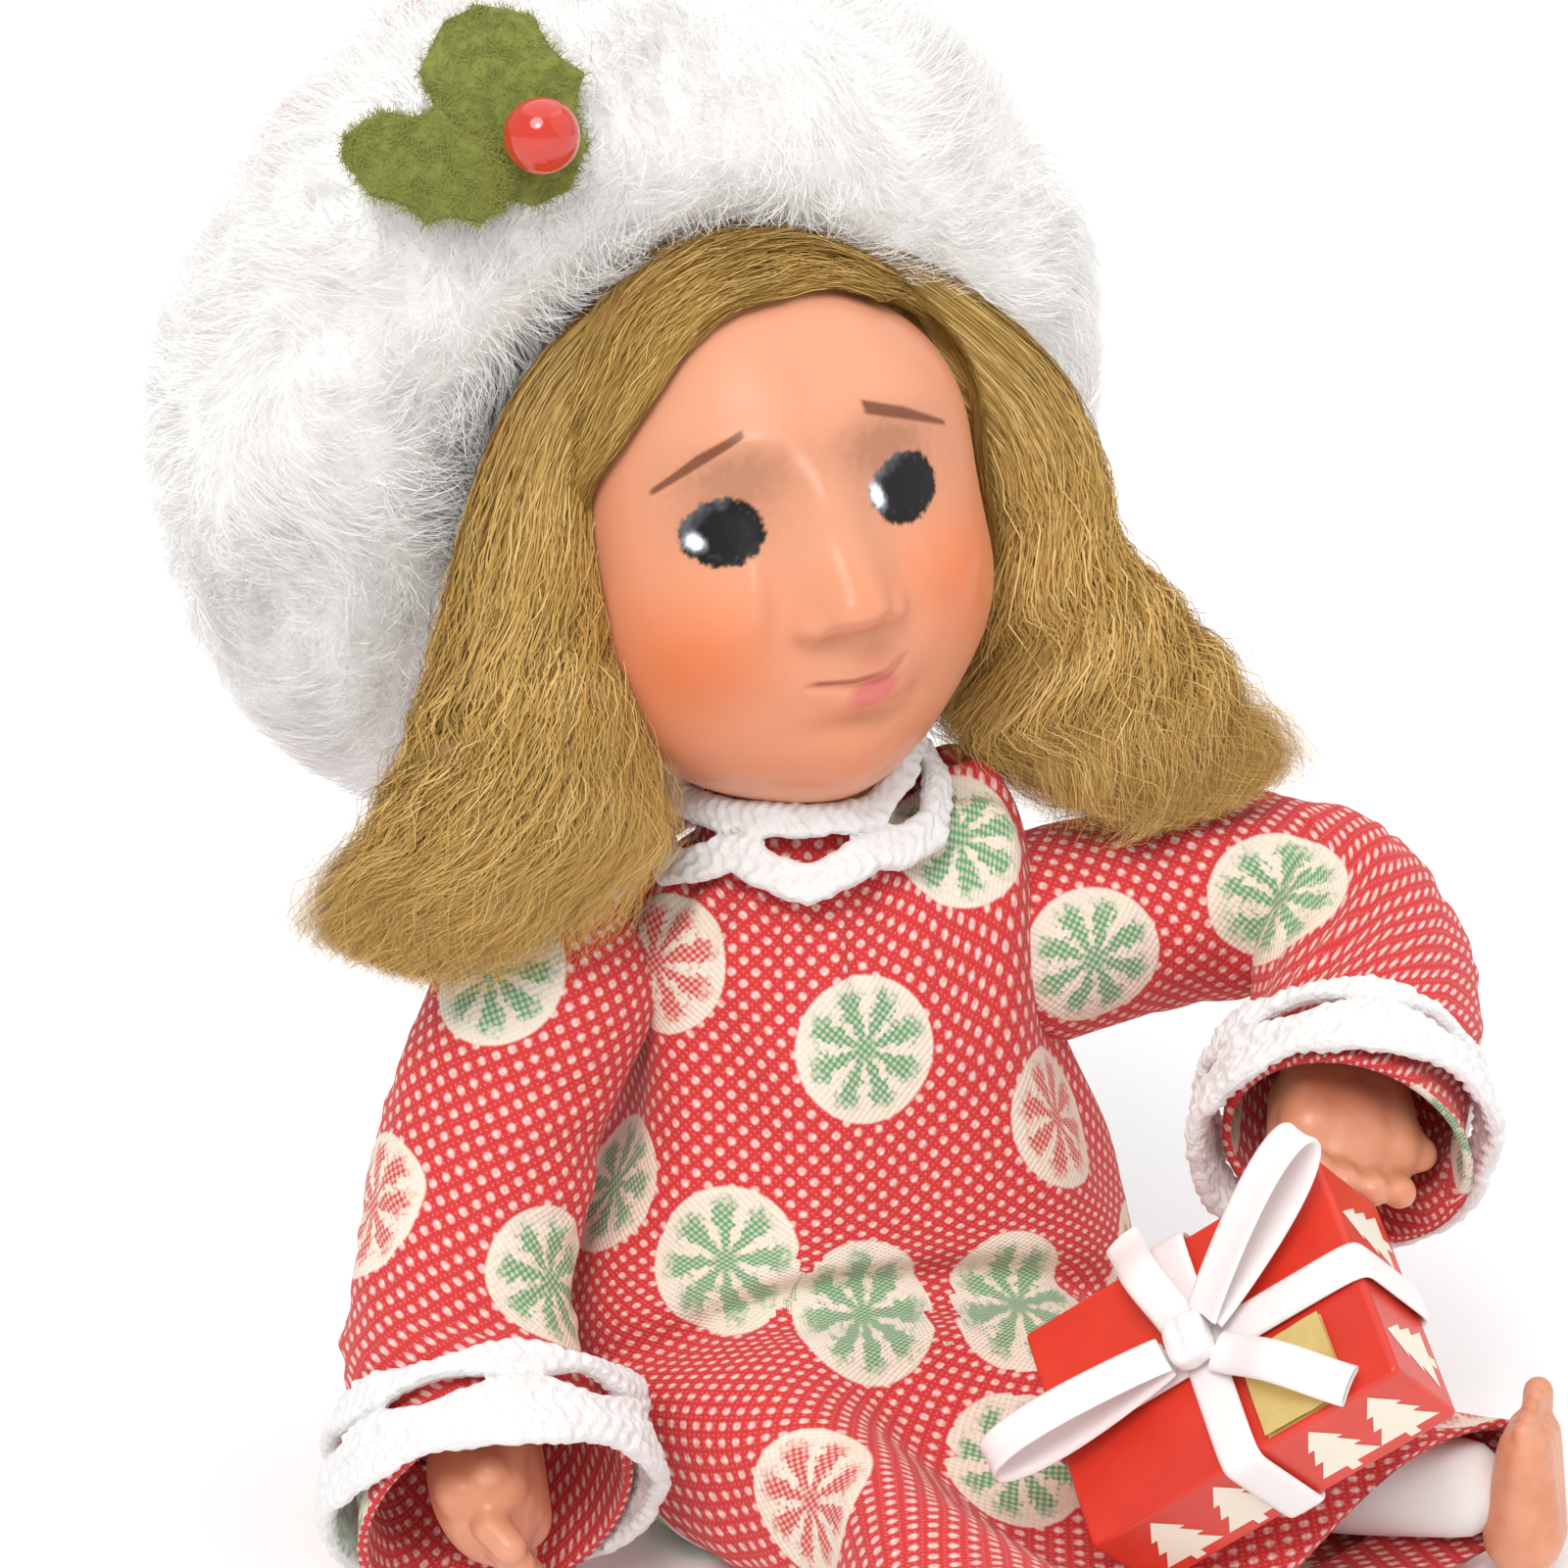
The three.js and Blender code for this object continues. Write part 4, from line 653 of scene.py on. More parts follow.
def mottled(name, first, second, roughness, patch, grain=0.0, grain_size=0.5, **settings):
    """A material that drifts between two colours over patches of one size."""
    paint = Paint(name, first, roughness, **settings)
    share = paint.ease(paint.noise(1 / (patch * MM), 3.0), 0.35, 0.68)
    paint.colour(paint.mix(share, first, second))
    paint.grain(grain, grain_size)
    return paint.material


def printed_cotton():
    """Red cotton with white pin dots, and cream discs whose rays are green or red."""
    paint = Paint("printed_cotton", COTTON_RED, 0.88, Sheen_Weight=0.12, Specular_IOR_Level=0.2)
    across, down, _ = paint.parts(paint.uv("cloth"))
    diagonal = 1 / (math.sqrt(2) * DOT_PITCH)
    first = paint.math("MULTIPLY", paint.math("ADD", across, down), diagonal)
    second = paint.math("MULTIPLY", paint.math("SUBTRACT", across, down), diagonal)
    first = paint.math("SUBTRACT", paint.math("FRACT", first), 0.5)
    second = paint.math("SUBTRACT", paint.math("FRACT", second), 0.5)
    reach = paint.math("MULTIPLY", paint.length(first, second), DOT_PITCH)
    dot = paint.ease(reach, DOT_RADIUS - 0.15, DOT_RADIUS + 0.15, 1.0, 0.0)
    warp = paint.math("SINE", paint.math("MULTIPLY", across, math.pi / THREAD_PITCH))
    weft = paint.math("SINE", paint.math("MULTIPLY", down, math.pi / THREAD_PITCH))
    threads = paint.math("MULTIPLY", warp, weft)
    dots_and_thread_highlight = paint.math("MULTIPLY", dot, paint.ease(threads, -0.7, 0.7, 0.7, 1.0))
    # Painted highlight: the tops of the raised threads are lightened towards the dot colour.
    dots_and_thread_highlight = paint.math("MAXIMUM", dots_and_thread_highlight, paint.ease(threads, 0.5, 1.0, 0.0, 0.22))
    ground = paint.mix(dots_and_thread_highlight, COTTON_RED, COTTON_DOT)

    sideways, upward, kind = paint.parts(paint.attribute("disc")["Vector"])
    radius = paint.length(sideways, upward)
    inside = paint.ease(radius, DISC_RADIUS - 0.2, DISC_RADIUS + 0.1, 1.0, 0.0)
    inside = paint.math("MULTIPLY", inside, paint.math("LESS_THAN", kind, 2.0))
    angle = paint.math("ARCTAN2", upward, sideways)
    wave = paint.math("COSINE", paint.math("MULTIPLY", angle, float(DISC_RAYS)))
    ragged = paint.ease(paint.noise(1500.0, 2.0), 0.3, 0.7, -0.7, 0.7)
    wedge = paint.math("ADD", wave, paint.math("MULTIPLY", threads, 0.3))
    wedge = paint.math("ADD", wedge, ragged)
    ray = paint.ease(wedge, -0.75, 0.15)
    ray = paint.math("MAXIMUM", ray, paint.ease(radius, 0.08 * DISC_RADIUS, 0.26 * DISC_RADIUS, 1.0, 0.0))
    worn = paint.math("ADD", radius, paint.math("MULTIPLY", ragged, 0.7))
    ray = paint.math("MULTIPLY", ray, paint.ease(worn, 0.7 * DISC_RADIUS, 0.92 * DISC_RADIUS, 1.0, 0.0))
    stipple = paint.ease(threads, -0.6, 0.3, 0.35, 0.95)
    ray = paint.math("MULTIPLY", ray, stipple)
    ink = paint.mix(kind, DISC_GREEN, COTTON_RED)
    disc = paint.mix(ray, DISC_CREAM, ink)
    colour = paint.mix(inside, ground, disc)

    # Painted shade: the cloth darkens in the gaps between the raised threads.
    shade = paint.ease(threads, -0.8, 0.8, 0.09, 0.0)
    paint.colour(paint.mix(shade, colour, COTTON_PAINTED_SHADE))
    paint.relief(threads, 0.05, 0.9)
    return paint.material


def strand_paint(name, root, middle, tip, roughness, root_shade, sheen):
    """Fibres: the map runs across by each strand's own tone and up from root to end; painted shade darkens
    each fibre towards its root.
    """
    paint = Paint(name, middle, roughness, Specular_IOR_Level=0.35, Sheen_Weight=sheen)
    tone, along, _ = paint.parts(paint.uv("OFBake"))
    colour = paint.mix(paint.ease(tone, 0.0, 0.55), root, middle)
    colour = paint.mix(paint.ease(tone, 0.5, 1.0), colour, tip)
    # Painted shade: each fibre darkens towards its root, deep in the pile.
    colour = paint.mix(paint.ease(along, 0.0, 0.4, root_shade, 0.0), colour, root)
    paint.colour(colour)
    return paint.material


def painted_clay():
    paint = Paint("painted_clay", (0.74, 0.33, 0.2, 1), 0.27, IOR=1.38, Specular_IOR_Level=0.36)
    paint.colour(paint.attribute("paint")["Color"])
    paint.relief(paint.noise(900.0, 3.0), 0.03, 0.5)
    return paint.material


def foil_paint():
    paint = Paint("gold_foil", FOIL_GOLD, 0.3, Metallic=0.35)
    paint.relief(paint.noise(700.0, 2.0), 0.25, 0.6)
    return paint.material


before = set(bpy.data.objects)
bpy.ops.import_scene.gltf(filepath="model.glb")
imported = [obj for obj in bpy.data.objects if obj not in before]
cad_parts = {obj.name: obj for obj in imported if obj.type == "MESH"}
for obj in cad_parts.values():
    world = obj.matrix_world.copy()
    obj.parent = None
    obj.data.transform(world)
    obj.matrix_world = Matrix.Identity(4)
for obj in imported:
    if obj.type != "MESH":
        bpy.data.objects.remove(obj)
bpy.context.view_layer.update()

COTTON = printed_cotton()
CLAY = painted_clay()
CLAY_HAND = mottled("clay_hand", CLAY_LIGHT, CLAY_DARK, 0.36, 4.0, 0.04, 1.2)
LACE = plain("crochet_cotton", LACE_WHITE, 0.92, 0.16, 0.32, Sheen_Weight=0.2)
# Mohair and fur both get painted shade towards their roots.
HAIR = strand_paint("mohair", HAIR_DARK, HAIR_MID, HAIR_LIGHT, 0.5, 0.35, 0.0)
# The solids under the hair fibres are coloured dark as the shade inside the hair.
HAIR_UNDER = mottled("mohair_under", HAIR_SHADE, HAIR_DEEP_SHADE, 0.6, 2.0, 0.2, 0.4)
FUR = strand_paint("fur", FUR_ROOT, FUR_WHITE, FUR_WHITE, 0.8, 0.4, 0.4)
FUR_BACKING = plain("fur_backing", FUR_CLOTH, 0.95, 0.3, 0.8)
FELT = mottled("felt", FELT_GREEN, FELT_DARK, 0.95, 1.4, 0.12, 0.3, Sheen_Weight=0.25)
FELT_FIBRE = plain("felt_fibre", FELT_LIGHT, 0.9)
BEAD = plain("bead", BEAD_RED, 0.13, Coat_Weight=0.6)
CARTON = mottled("carton", CARTON_RED, CARTON_DARK, 0.3, 9.0)
CARTON_PRINT = plain("carton_print", CARTON_CREAM, 0.5)
RIBBON = plain("satin_ribbon", RIBBON_WHITE, 0.42, 0.03, 0.25, Sheen_Weight=0.2)
FOIL = foil_paint()
PAPER = mottled("padding_paper", PAPER_WHITE, PAPER_GREY, 0.9, 3.0, 0.2, 0.8)
STOCKING = plain("leg_cloth", STOCKING_WHITE, 0.9, 0.05, 0.4)
WIRE = mottled("wire", WIRE_GREY, WIRE_DARK, 0.35, 2.0, Metallic=1.0)
FLOOR = plain("floor", FLOOR_WHITE, 0.9)


def printed(piece, points, discs, seed, layout=None):
    """Lays the print on a grid of cloth: a map in millimetres and each point's place on the nearest disc."""
    middle = points.shape[1] // 2
    across = run_length(points, 1)
    across = across - across[:, middle:middle + 1]
    down = run_length(points, 0)
    if layout is not None:
        down = run_length(layout, 0).mean(axis=1, keepdims=True) + 0 * across
    set_uv(piece, "cloth", np.stack([across, down], axis=-1))
    spots = points.reshape(-1, 3)
    normals = grid_normals(points).reshape(-1, 3)
    runs = unit(np.gradient(points, axis=1)).reshape(-1, 3)
    random = np.random.default_rng(seed)
    centres = []
    kinds = []
    for place, kind in discs:
        centres.append(int(np.argmin(np.linalg.norm(spots - np.array(place), axis=-1))))
        kinds.append(kind)
    for candidate in random.permutation(len(spots))[:DISC_TRIES]:
        gaps = np.linalg.norm(spots[centres] - spots[candidate], axis=-1)
        to_front = abs(normals[candidate] @ PRINT_FRONT) * np.sign(PRINT_FRONT @ spots[candidate])
        if gaps.min() > DISC_ROOM and to_front < PRINT_TURN:
            centres.append(int(candidate))
            kinds.append(int(random.integers(0, 2)))
    offsets = np.tile(np.array(NO_DISC), (len(spots), 1))
    closest = np.full(len(spots), DISC_RADIUS + 1.0)
    shared = np.zeros(len(spots))
    for centre, kind in zip(centres, kinds):
        away = spots - spots[centre]
        distance = np.linalg.norm(away, axis=-1)
        shared += distance < DISC_RADIUS + 1.8
        near = (distance < closest) & (normals @ normals[centre] > -0.3)
        closest = np.where(near, distance, closest)
        side = unit(runs[centre] - normals[centre] * (runs[centre] @ normals[centre]))
        up = np.cross(normals[centre], side)
        flat = np.stack([away[near] @ side, away[near] @ up], axis=-1)
        stretch = distance[near] / np.maximum(np.linalg.norm(flat, axis=-1), 0.01)
        flat = flat * np.minimum(stretch, 2.0)[:, None]
        turn = random.uniform(0, math.tau)
        offsets[near, 0] = flat[:, 0] * math.cos(turn) - flat[:, 1] * math.sin(turn)
        offsets[near, 1] = flat[:, 0] * math.sin(turn) + flat[:, 1] * math.cos(turn)
        offsets[near, 2] = kind
    offsets[(shared > 1) & (closest > DISC_RADIUS + 0.1)] = NO_DISC
    set_vectors(piece, "disc", offsets)


def gown_points(shares, angles, inset=0.0, sag_share=1.0):
    """Points of the nightgown's rings; a quarter turn is the front."""
    ring = spline(GOWN_RINGS, shares)
    lean = np.radians(ring[:, 3])[:, None]
    turn = np.radians(ring[:, 4])
    side = np.stack([np.cos(turn), np.sin(turn), 0 * turn], axis=-1)
    ahead = np.stack([np.sin(turn), -np.cos(turn), 0 * turn], axis=-1)
    front = ahead * np.cos(lean) + UP * np.sin(lean)
    power = (2 / ring[:, 9])[:, None]
    across = np.sign(np.cos(angles)) * np.abs(np.cos(angles)) ** power
    along = np.sign(np.sin(angles)) * np.abs(np.sin(angles)) ** power
    fold = 1 + bump(shares - 0.3, 0.22)[:, None] * GATHER_DEPTH * np.cos(GATHER_COUNT * angles)
    width = np.where(across > 0, ring[:, 6:7], ring[:, 5:6]) * fold - inset
    sag = 1 - sag_share * ring[:, 10:11] * bump(across, 0.46)
    depth = np.where(along > 0, ring[:, 7:8] * fold * sag - inset, ring[:, 8:9] * fold - inset)
    points = ring[:, None, :3] + side[:, None] * (width * across)[..., None]
    points = points + front[:, None] * (depth * along)[..., None]
    points[..., 2] = np.maximum(points[..., 2], inset + FLOOR_TOUCH)
    return points


def gown_wrinkles(points, shares, angles):
    """How far the cloth stands off its rings: neck gathers, drapes and the crease of the lap."""
    down = run_length(points, 0)
    gathers = 0.45 * bump(down - 5.0, 6.0) * np.cos(17 * angles + 1.5 * np.sin(3 * angles))
    x, y, z = points[..., 0], points[..., 1], points[..., 2]
    place = np.stack([x * 0.9 + z * 0.35, z * 0.45, y], axis=-1)
    drapes = 0.55 * lumps(place, 7.0, 3) + 0.2 * lumps(place, 3.2, 4)
    drapes = drapes * ease(down, 4.0, 16.0)
    front = ease(np.sin(angles), 0.1, 0.7)
    pleats = -1.1 * bump(x - 0.6, 0.9) * bump(down - 8.0, 4.0) * front
    pleats = pleats - 0.9 * bump(x + 6.0 + 0.3 * (down - 7.0), 0.8) * bump(down - 7.0, 3.0) * front
    lap = -1.9 * bump(shares[:, None] - 0.56 - 0.02 * np.sin(3 * angles), 0.022) * front
    return gathers + drapes + pleats + lap


def add_gown():
    """The gown's cloth: a neckband, the draped body with its raised left shoulder and a turned hem."""
    shares = np.linspace(0, 1, GOWN_ROWS)
    angles = np.linspace(-math.pi / 2, 1.5 * math.pi, GOWN_COLUMNS)[None, :]
    points = gown_points(shares, angles)
    points = points + grid_normals(points) * gown_wrinkles(points, shares, angles)[..., None]
    points[..., 2] = np.maximum(points[..., 2], FLOOR_TOUCH)
    left = ease(points[..., 0], 2.0, 12.0) * (1 - ease(run_length(points, 0), 2.0, 17.0))
    shoulder = ease(points[..., 0], 8.5, 14.0) * (1 - ease(run_length(points, 0), 9.0, 24.0))
    points[..., 2] += COLLAR_RISE * 0.8 * left + SHOULDER_RISE * shoulder
    points[..., 0] += SHOULDER_RISE * 0.5 * shoulder
    band = np.repeat(points[:1], NECKBAND_ROWS, axis=0)
    share = np.linspace(1, 0, NECKBAND_ROWS, endpoint=False)[:, None]
    band[..., 2] += NECKBAND_HEIGHT * share
    band[..., :2] *= 1 - NECKBAND_TAPER * share[..., None]
    turned = np.linspace(1, 1 - GOWN_HEM_TURN / GOWN_LENGTH, HEM_ROWS)
    lining = gown_points(turned, angles, HEM_WALL)
    flat = np.concatenate([band, gown_points(shares, angles, 0.0, 0.0), lining])
    points = np.concatenate([band, points, lining])
    faces = grid_faces(len(points), GOWN_COLUMNS)
    gown = make_piece("nightgown_cloth", points, faces[:, ::-1], COTTON, "trunk")
    printed(gown, points, GOWN_DISCS, 11, flat)
    dress("nightgown")


def closed_tube(points, radii, around=40, wrinkle=0.0, seed=0):
    """Rings along a path with rounded ends."""
    points = np.asarray(points, dtype=float)
    runs = unit(np.gradient(points, axis=0))
    first, second = side_frames(runs)
    caps = np.radians([0, 22, 45, 68])
    centres = [points[0] - runs[0] * radii[0] * math.cos(angle) for angle in caps]
    sizes = [max(radii[0] * math.sin(angle), 0.02) for angle in caps]
    frames = [(first[0], second[0])] * len(caps)
    for i in range(len(points)):
        centres.append(points[i])
        sizes.append(radii[i])
        frames.append((first[i], second[i]))
    for angle in caps[::-1]:
        centres.append(points[-1] + runs[-1] * radii[-1] * math.cos(angle))
        sizes.append(max(radii[-1] * math.sin(angle), 0.02))
        frames.append((first[-1], second[-1]))
    angles = np.linspace(0, math.tau, around, endpoint=False)
    rings = np.array([
        centre + size * (np.cos(angles)[:, None] * a + np.sin(angles)[:, None] * b)
        for centre, size, (a, b) in zip(centres, sizes, frames)
    ])
    if wrinkle:
        rings = rings + grid_normals(rings) * wrinkle * lumps(rings, 4.0, seed)[..., None]
    return rings.reshape(-1, 3), grid_faces(len(rings), around, wrap=True)


def side_frames(runs, start=UP):
    """Two directions square to each run, carried along without twist."""
    first = np.zeros_like(runs)
    guess = start if abs(runs[0] @ start) < 0.9 else np.array([1.0, 0, 0])
    for i, run in enumerate(runs):
        guess = guess - run * (guess @ run)
        guess = guess / np.linalg.norm(guess)
        first[i] = guess
    return first, np.cross(runs, first)


def leg_direction(turn):
    angle = math.radians(turn)
    return np.array([math.sin(angle), -math.cos(angle), 0.0])


def add_padding():
    """The stuffing of the trunk and of both legs."""
    shares = np.linspace(*PADDING_SHARES, PADDING_ROWS)
    angles = np.linspace(0, math.tau, PADDING_COLUMNS, endpoint=False)[None, :]
    rings = gown_points(shares, angles, CLOTH_WALL + PADDING_GAP + PADDING_DEPTH)
    ends = [np.repeat(rings[i].mean(axis=0)[None], PADDING_COLUMNS, axis=0)[None] for i in (0, -1)]
    rings = np.concatenate([ends[0], rings, ends[1]], axis=0)
    faces = grid_faces(len(rings), PADDING_COLUMNS, wrap=True)[:, ::-1]
    padding = make_piece("torso_stuffing", rings, faces, PAPER, "trunk")
    dress("torso_padding")
    share = np.linspace(0, 1, LEG_ROWS)
    for side, (hip, turn) in LEGS.items():
        lengths = np.linspace(LEG_PADDING_START + THIGH_RADIUS, LEG_LENGTH - 1 - SHIN_RADIUS * 0.4, LEG_ROWS)
        path = hip + lengths[:, None] * leg_direction(turn)
        radii = THIGH_RADIUS + (SHIN_RADIUS - THIGH_RADIUS) * share + 0.3 * np.sin(share * math.pi)
        points, faces = closed_tube(path, radii, 40, 0.15, 5)
        leg = make_piece("leg_stuffing_" + side, points, faces, STOCKING, "trunk")
        dress("leg_padding_" + side)


def bezier(start, middle, end, shares):
    """A curve through three points, passing the middle one half way."""
    control = 2 * middle - 0.5 * (start + end)
    t = shares[:, None]
    return (1 - t) ** 2 * start + 2 * t * (1 - t) * control + t ** 2 * end


def add_sleeve(side):
    """One sleeve, with a domed head, wrinkles, a hem under the lace and a lining, and the arm's stuffing."""
    arm = ARMS[side]
    body = side + "_arm"
    bend = (arm.shoulder, arm.elbow, arm.cuff)
    shares = np.linspace(0, 1, SLEEVE_ROWS)
    centres = bezier(*bend, shares)
    runs = unit(np.gradient(centres, axis=0))
    radii = np.interp(shares, [0, 0.5, 1], [SLEEVE_HEAD_RADIUS, ELBOW_RADIUS, arm.cuff_radius])
    tilt = np.linspace(math.pi / 2, 0, SLEEVE_DOME_ROWS, endpoint=False)
    dome = arm.shoulder - runs[0] * SLEEVE_HEAD_RADIUS * np.sin(tilt)[:, None]
    lining = np.linspace(1, 1 - SLEEVE_LINING, SLEEVE_LINING_ROWS)
    inner = bezier(*bend, lining)
    past = np.linspace(0, CUFF_LACE_WIDTH - CUFF_LACE_OVERLAP + SLEEVE_SHOWS, SLEEVE_HEM_ROWS + 1)[1:]
    hem = arm.cuff + past[:, None] * cuff_direction(side)
    hem_radii = arm.cuff_radius + 0.9 * CUFF_LACE_FLARE * past / CUFF_LACE_WIDTH
    all_centres = np.concatenate([dome, centres, hem, hem[::-1], inner])
    dome_runs = np.repeat(runs[:1], len(dome), axis=0)
    cuff_runs = np.repeat(runs[-1:], 2 * len(hem) + len(inner), axis=0)
    all_radii = np.concatenate([
        np.maximum(SLEEVE_HEAD_RADIUS * np.cos(tilt), 0.05),
        radii,
        hem_radii,
        hem_radii[::-1] - SLEEVE_WALL,
        np.interp(lining, shares, radii) - SLEEVE_WALL,
    ])
    first, second = side_frames(np.concatenate([dome_runs, runs, cuff_runs]), np.array([0.0, 1.0, 0.0]))
    angles = np.linspace(0, math.tau, SLEEVE_COLUMNS)
    rays = np.cos(angles)[None, :, None] * first[:, None] + np.sin(angles)[None, :, None] * second[:, None]
    points = all_centres[:, None] + all_radii[:, None, None] * rays
    outer = slice(SLEEVE_DOME_ROWS, SLEEVE_DOME_ROWS + SLEEVE_ROWS)
    level = 0 * all_radii[:, None]
    down = run_length(points, 0) * 1.7
    place = np.stack([np.cos(angles) * 9 + level, np.sin(angles) * 9 + level, down], axis=-1)
    depth = 0.55 * lumps(place, 6.0, 21) + 0.25 * lumps(place, 2.7, 22)
    inner_bend = ease(-np.cos(angles - math.pi), 0.2, 1.0)[None] * bump(shares[:, None] - 0.5, 0.16)
    wrinkles = np.zeros(points.shape[:2])
    wrinkles[outer] = depth[outer] * (ease(shares, 0.0, 0.15) * (1 - ease(shares, 0.85, 1.0)))[:, None]
    wrinkles[outer] -= 0.7 * inner_bend * (0.5 + 0.5 * np.sin(shares * 70))[:, None]
    points = points + grid_normals(points) * wrinkles[..., None]
    sleeve = make_piece("sleeve_cloth_" + side, points, grid_faces(len(points), SLEEVE_COLUMNS), COTTON, body)
    printed(sleeve, points, arm.discs, 12)
    dress("sleeve_" + side)
    stuffed = np.linspace(*ARM_STUFFING, ARM_STUFFING_ROWS)
    stuffing_radii = np.interp(stuffed, shares, radii) - ARM_STUFFING_DEPTH
    points, faces = closed_tube(bezier(*bend, stuffed), stuffing_radii, 36, 0.2, 6)
    stuffing = make_piece("arm_stuffing_" + side, points, faces, PAPER, body)
    dress("arm_padding_" + side)


def lace_piece(name, body, surface, length, width, depth_inside, motifs):
    """Crochet on a strip wrapped round a cone: round yarn wherever depth_inside is above nothing."""
    columns = int(length / LACE_STEP)
    rows = int(width / LACE_STEP) + 1
    around = np.linspace(0, 1, columns, endpoint=False)
    down = np.linspace(-0.12, 1.12, rows)
    u, v = np.meshgrid(around, down)
    inside = depth_inside(u * motifs, v * width, width)
    place = np.stack([np.cos(u * math.tau) * 12, np.sin(u * math.tau) * 12, v * width], axis=-1)
    inside = inside + 0.14 * lumps(place, 0.8, 31) + 0.16 * lumps(place, 2.2, 32)
    inside[[0, -1]] = np.minimum(inside[[0, -1]], -0.02)
    down_slope, side_slope = np.gradient(inside)
    steepness = np.maximum(down_slope ** 2 + side_slope ** 2, 1e-4)
    edge = inside <= 0
    u = u + np.where(edge, np.clip(-inside * side_slope / steepness, -1, 1), 0) / columns
    v = v + np.where(edge, np.clip(-inside * down_slope / steepness, -1, 1), 0) * (down[1] - down[0])
    share = np.clip(inside / (LACE_THICKNESS / 2), 0, 1)
    half = LACE_THICKNESS / 2 * np.sqrt(1 - (1 - share) ** 2)
    half = np.where(inside > 0, half, 0)
    stitch = 0.14 * np.sin(u * length * math.tau / 1.25 + 2.5 * np.sin(v * width * 2.1))
    half = half * (1 + stitch + 0.22 * lumps(place, 0.6, 33) + 0.2 * lumps(place, 1.4, 34))
    points, out = surface(u, v)
    wave = 0.35 * lumps(place, 4.0, 35) + 0.12 * lumps(place, 0.9, 36)
    top = points + out * (half + wave)[..., None]
    under = points - out * (half - wave)[..., None]
    kept = (inside > 0).ravel()
    quads = grid_faces(rows, columns, wrap=True)
    quads = quads[kept[quads].any(axis=1)]
    below = np.where(kept, np.arange(kept.size) + kept.size, np.arange(kept.size))
    faces = np.concatenate([quads, below[quads][:, ::-1]])
    all_points = np.concatenate([top.reshape(-1, 3), under.reshape(-1, 3)])
    used, faces = np.unique(faces, return_inverse=True)
    faces = faces.reshape(-1, 4)
    lace = make_piece(name, all_points[used], faces, LACE, body)
    whole = np.concatenate([kept, kept])[used][faces].all(axis=1)
    lace.data.polygons.foreach_set("use_smooth", whole)
    return lace


def crochet_cuff(along, down, width):
    """A close band with one long lens of an opening in each motif and a wavy upper edge."""
    along = along + 0.5
    side = ((along % 1) - 0.5) * 12.6
    top = down + 0.4 + 0.5 * np.cos(math.tau * along)
    low = width + 0.7 + 0.25 * np.cos(math.tau * along) - down
    opening = np.abs(down - 2.9) - 1.05 * np.maximum(1 - (side / 4.4) ** 2, 0)
    dent = np.maximum(np.hypot(side - 4.9, (down - 5.2) * 1.2) - 0.35, 0.14)
    return np.minimum(np.minimum(top, low), np.minimum(opening, dent))


def crochet_collar(along, down, width):
    """A band at the neck, one boat-shaped opening in each motif and a pointed lower edge."""
    side = np.abs((along + 0.5 + COLLAR_TURN * COLLAR_POINTS) % 1 - 0.5) * 11.8
    low = width + 0.5 - 0.42 * side - down
    opening = np.abs(down - 3.6 + 0.22 * side) - 1.1 * np.maximum(1 - (side / 4.0) ** 2, 0)
    return np.minimum(np.minimum(down + 0.5, low), opening)


def cone(origin, axis, first, second, top, edge, lift):
    """A cone strip: u runs round it and v from its top to its edge; one side is lifted."""
    slope = unit(np.array([edge[0] - top[0], edge[1] - top[1]]))

    def surface(u, v):
        ray = np.cos(u * math.tau)[..., None] * first + np.sin(u * math.tau)[..., None] * second
        radius = top[0] + (edge[0] - top[0]) * v
        height = top[1] + (edge[1] - top[1]) * v
        height = height + lift * ease(np.sin(u * math.tau - 0.2), 0.0, 1.0)
        points = origin + ray * radius[..., None] + axis * height[..., None]
        return points, -slope[1] * ray + slope[0] * axis
    return surface


def add_lace(name, body, node, origin, axis, first, second, top, edge, motifs, pattern, lift=0.0):
    surface = cone(origin, axis, first, second, top, edge, lift)
    width = math.hypot(edge[0] - top[0], edge[1] - top[1])
    length = math.tau * (top[0] + edge[0]) / 2
    lace = lace_piece(name, body, surface, length, width, pattern, motifs)
    dress(node)


def add_laces():
    add_lace("collar_crochet", "trunk", "collar_lace", COLLAR_CENTRE, UP, np.array([0.0, -1.0, 0.0]),
             np.array([1.0, 0.0, 0.0]), COLLAR_TOP, COLLAR_EDGE, COLLAR_POINTS, crochet_collar, COLLAR_RISE)
    for side, arm in ARMS.items():
        ahead = cuff_direction(side)
        first, second = side_frames(ahead[None], np.array([1.0, 0.0, 0.0]))
        start = arm.cuff_radius + CLEARANCE + LACE_THICKNESS / 2
        top = (start, -CUFF_LACE_OVERLAP)
        edge = (start + CUFF_LACE_FLARE, CUFF_LACE_WIDTH - CUFF_LACE_OVERLAP)
        add_lace("cuff_crochet_" + side, side + "_arm", "cuff_lace_" + side, arm.cuff, ahead, first[0],
                 second[0], top, edge, CUFF_MOTIFS, crochet_cuff)


def cuff_direction(side):
    return unit(ARMS[side].cuff - ARMS[side].elbow)


def turned_head():
    """The head's turn: its yaw, then roll, then pitch."""
    yaw = Matrix.Rotation(math.radians(HEAD_YAW), 3, "Z")
    roll = Matrix.Rotation(math.radians(HEAD_ROLL), 3, "Y")
    pitch = Matrix.Rotation(math.radians(HEAD_PITCH), 3, "X")
    return np.array(yaw @ roll @ pitch)


HEAD_TURN = turned_head()


def to_figure(points):
    return points @ HEAD_TURN.T + HEAD_CENTRE


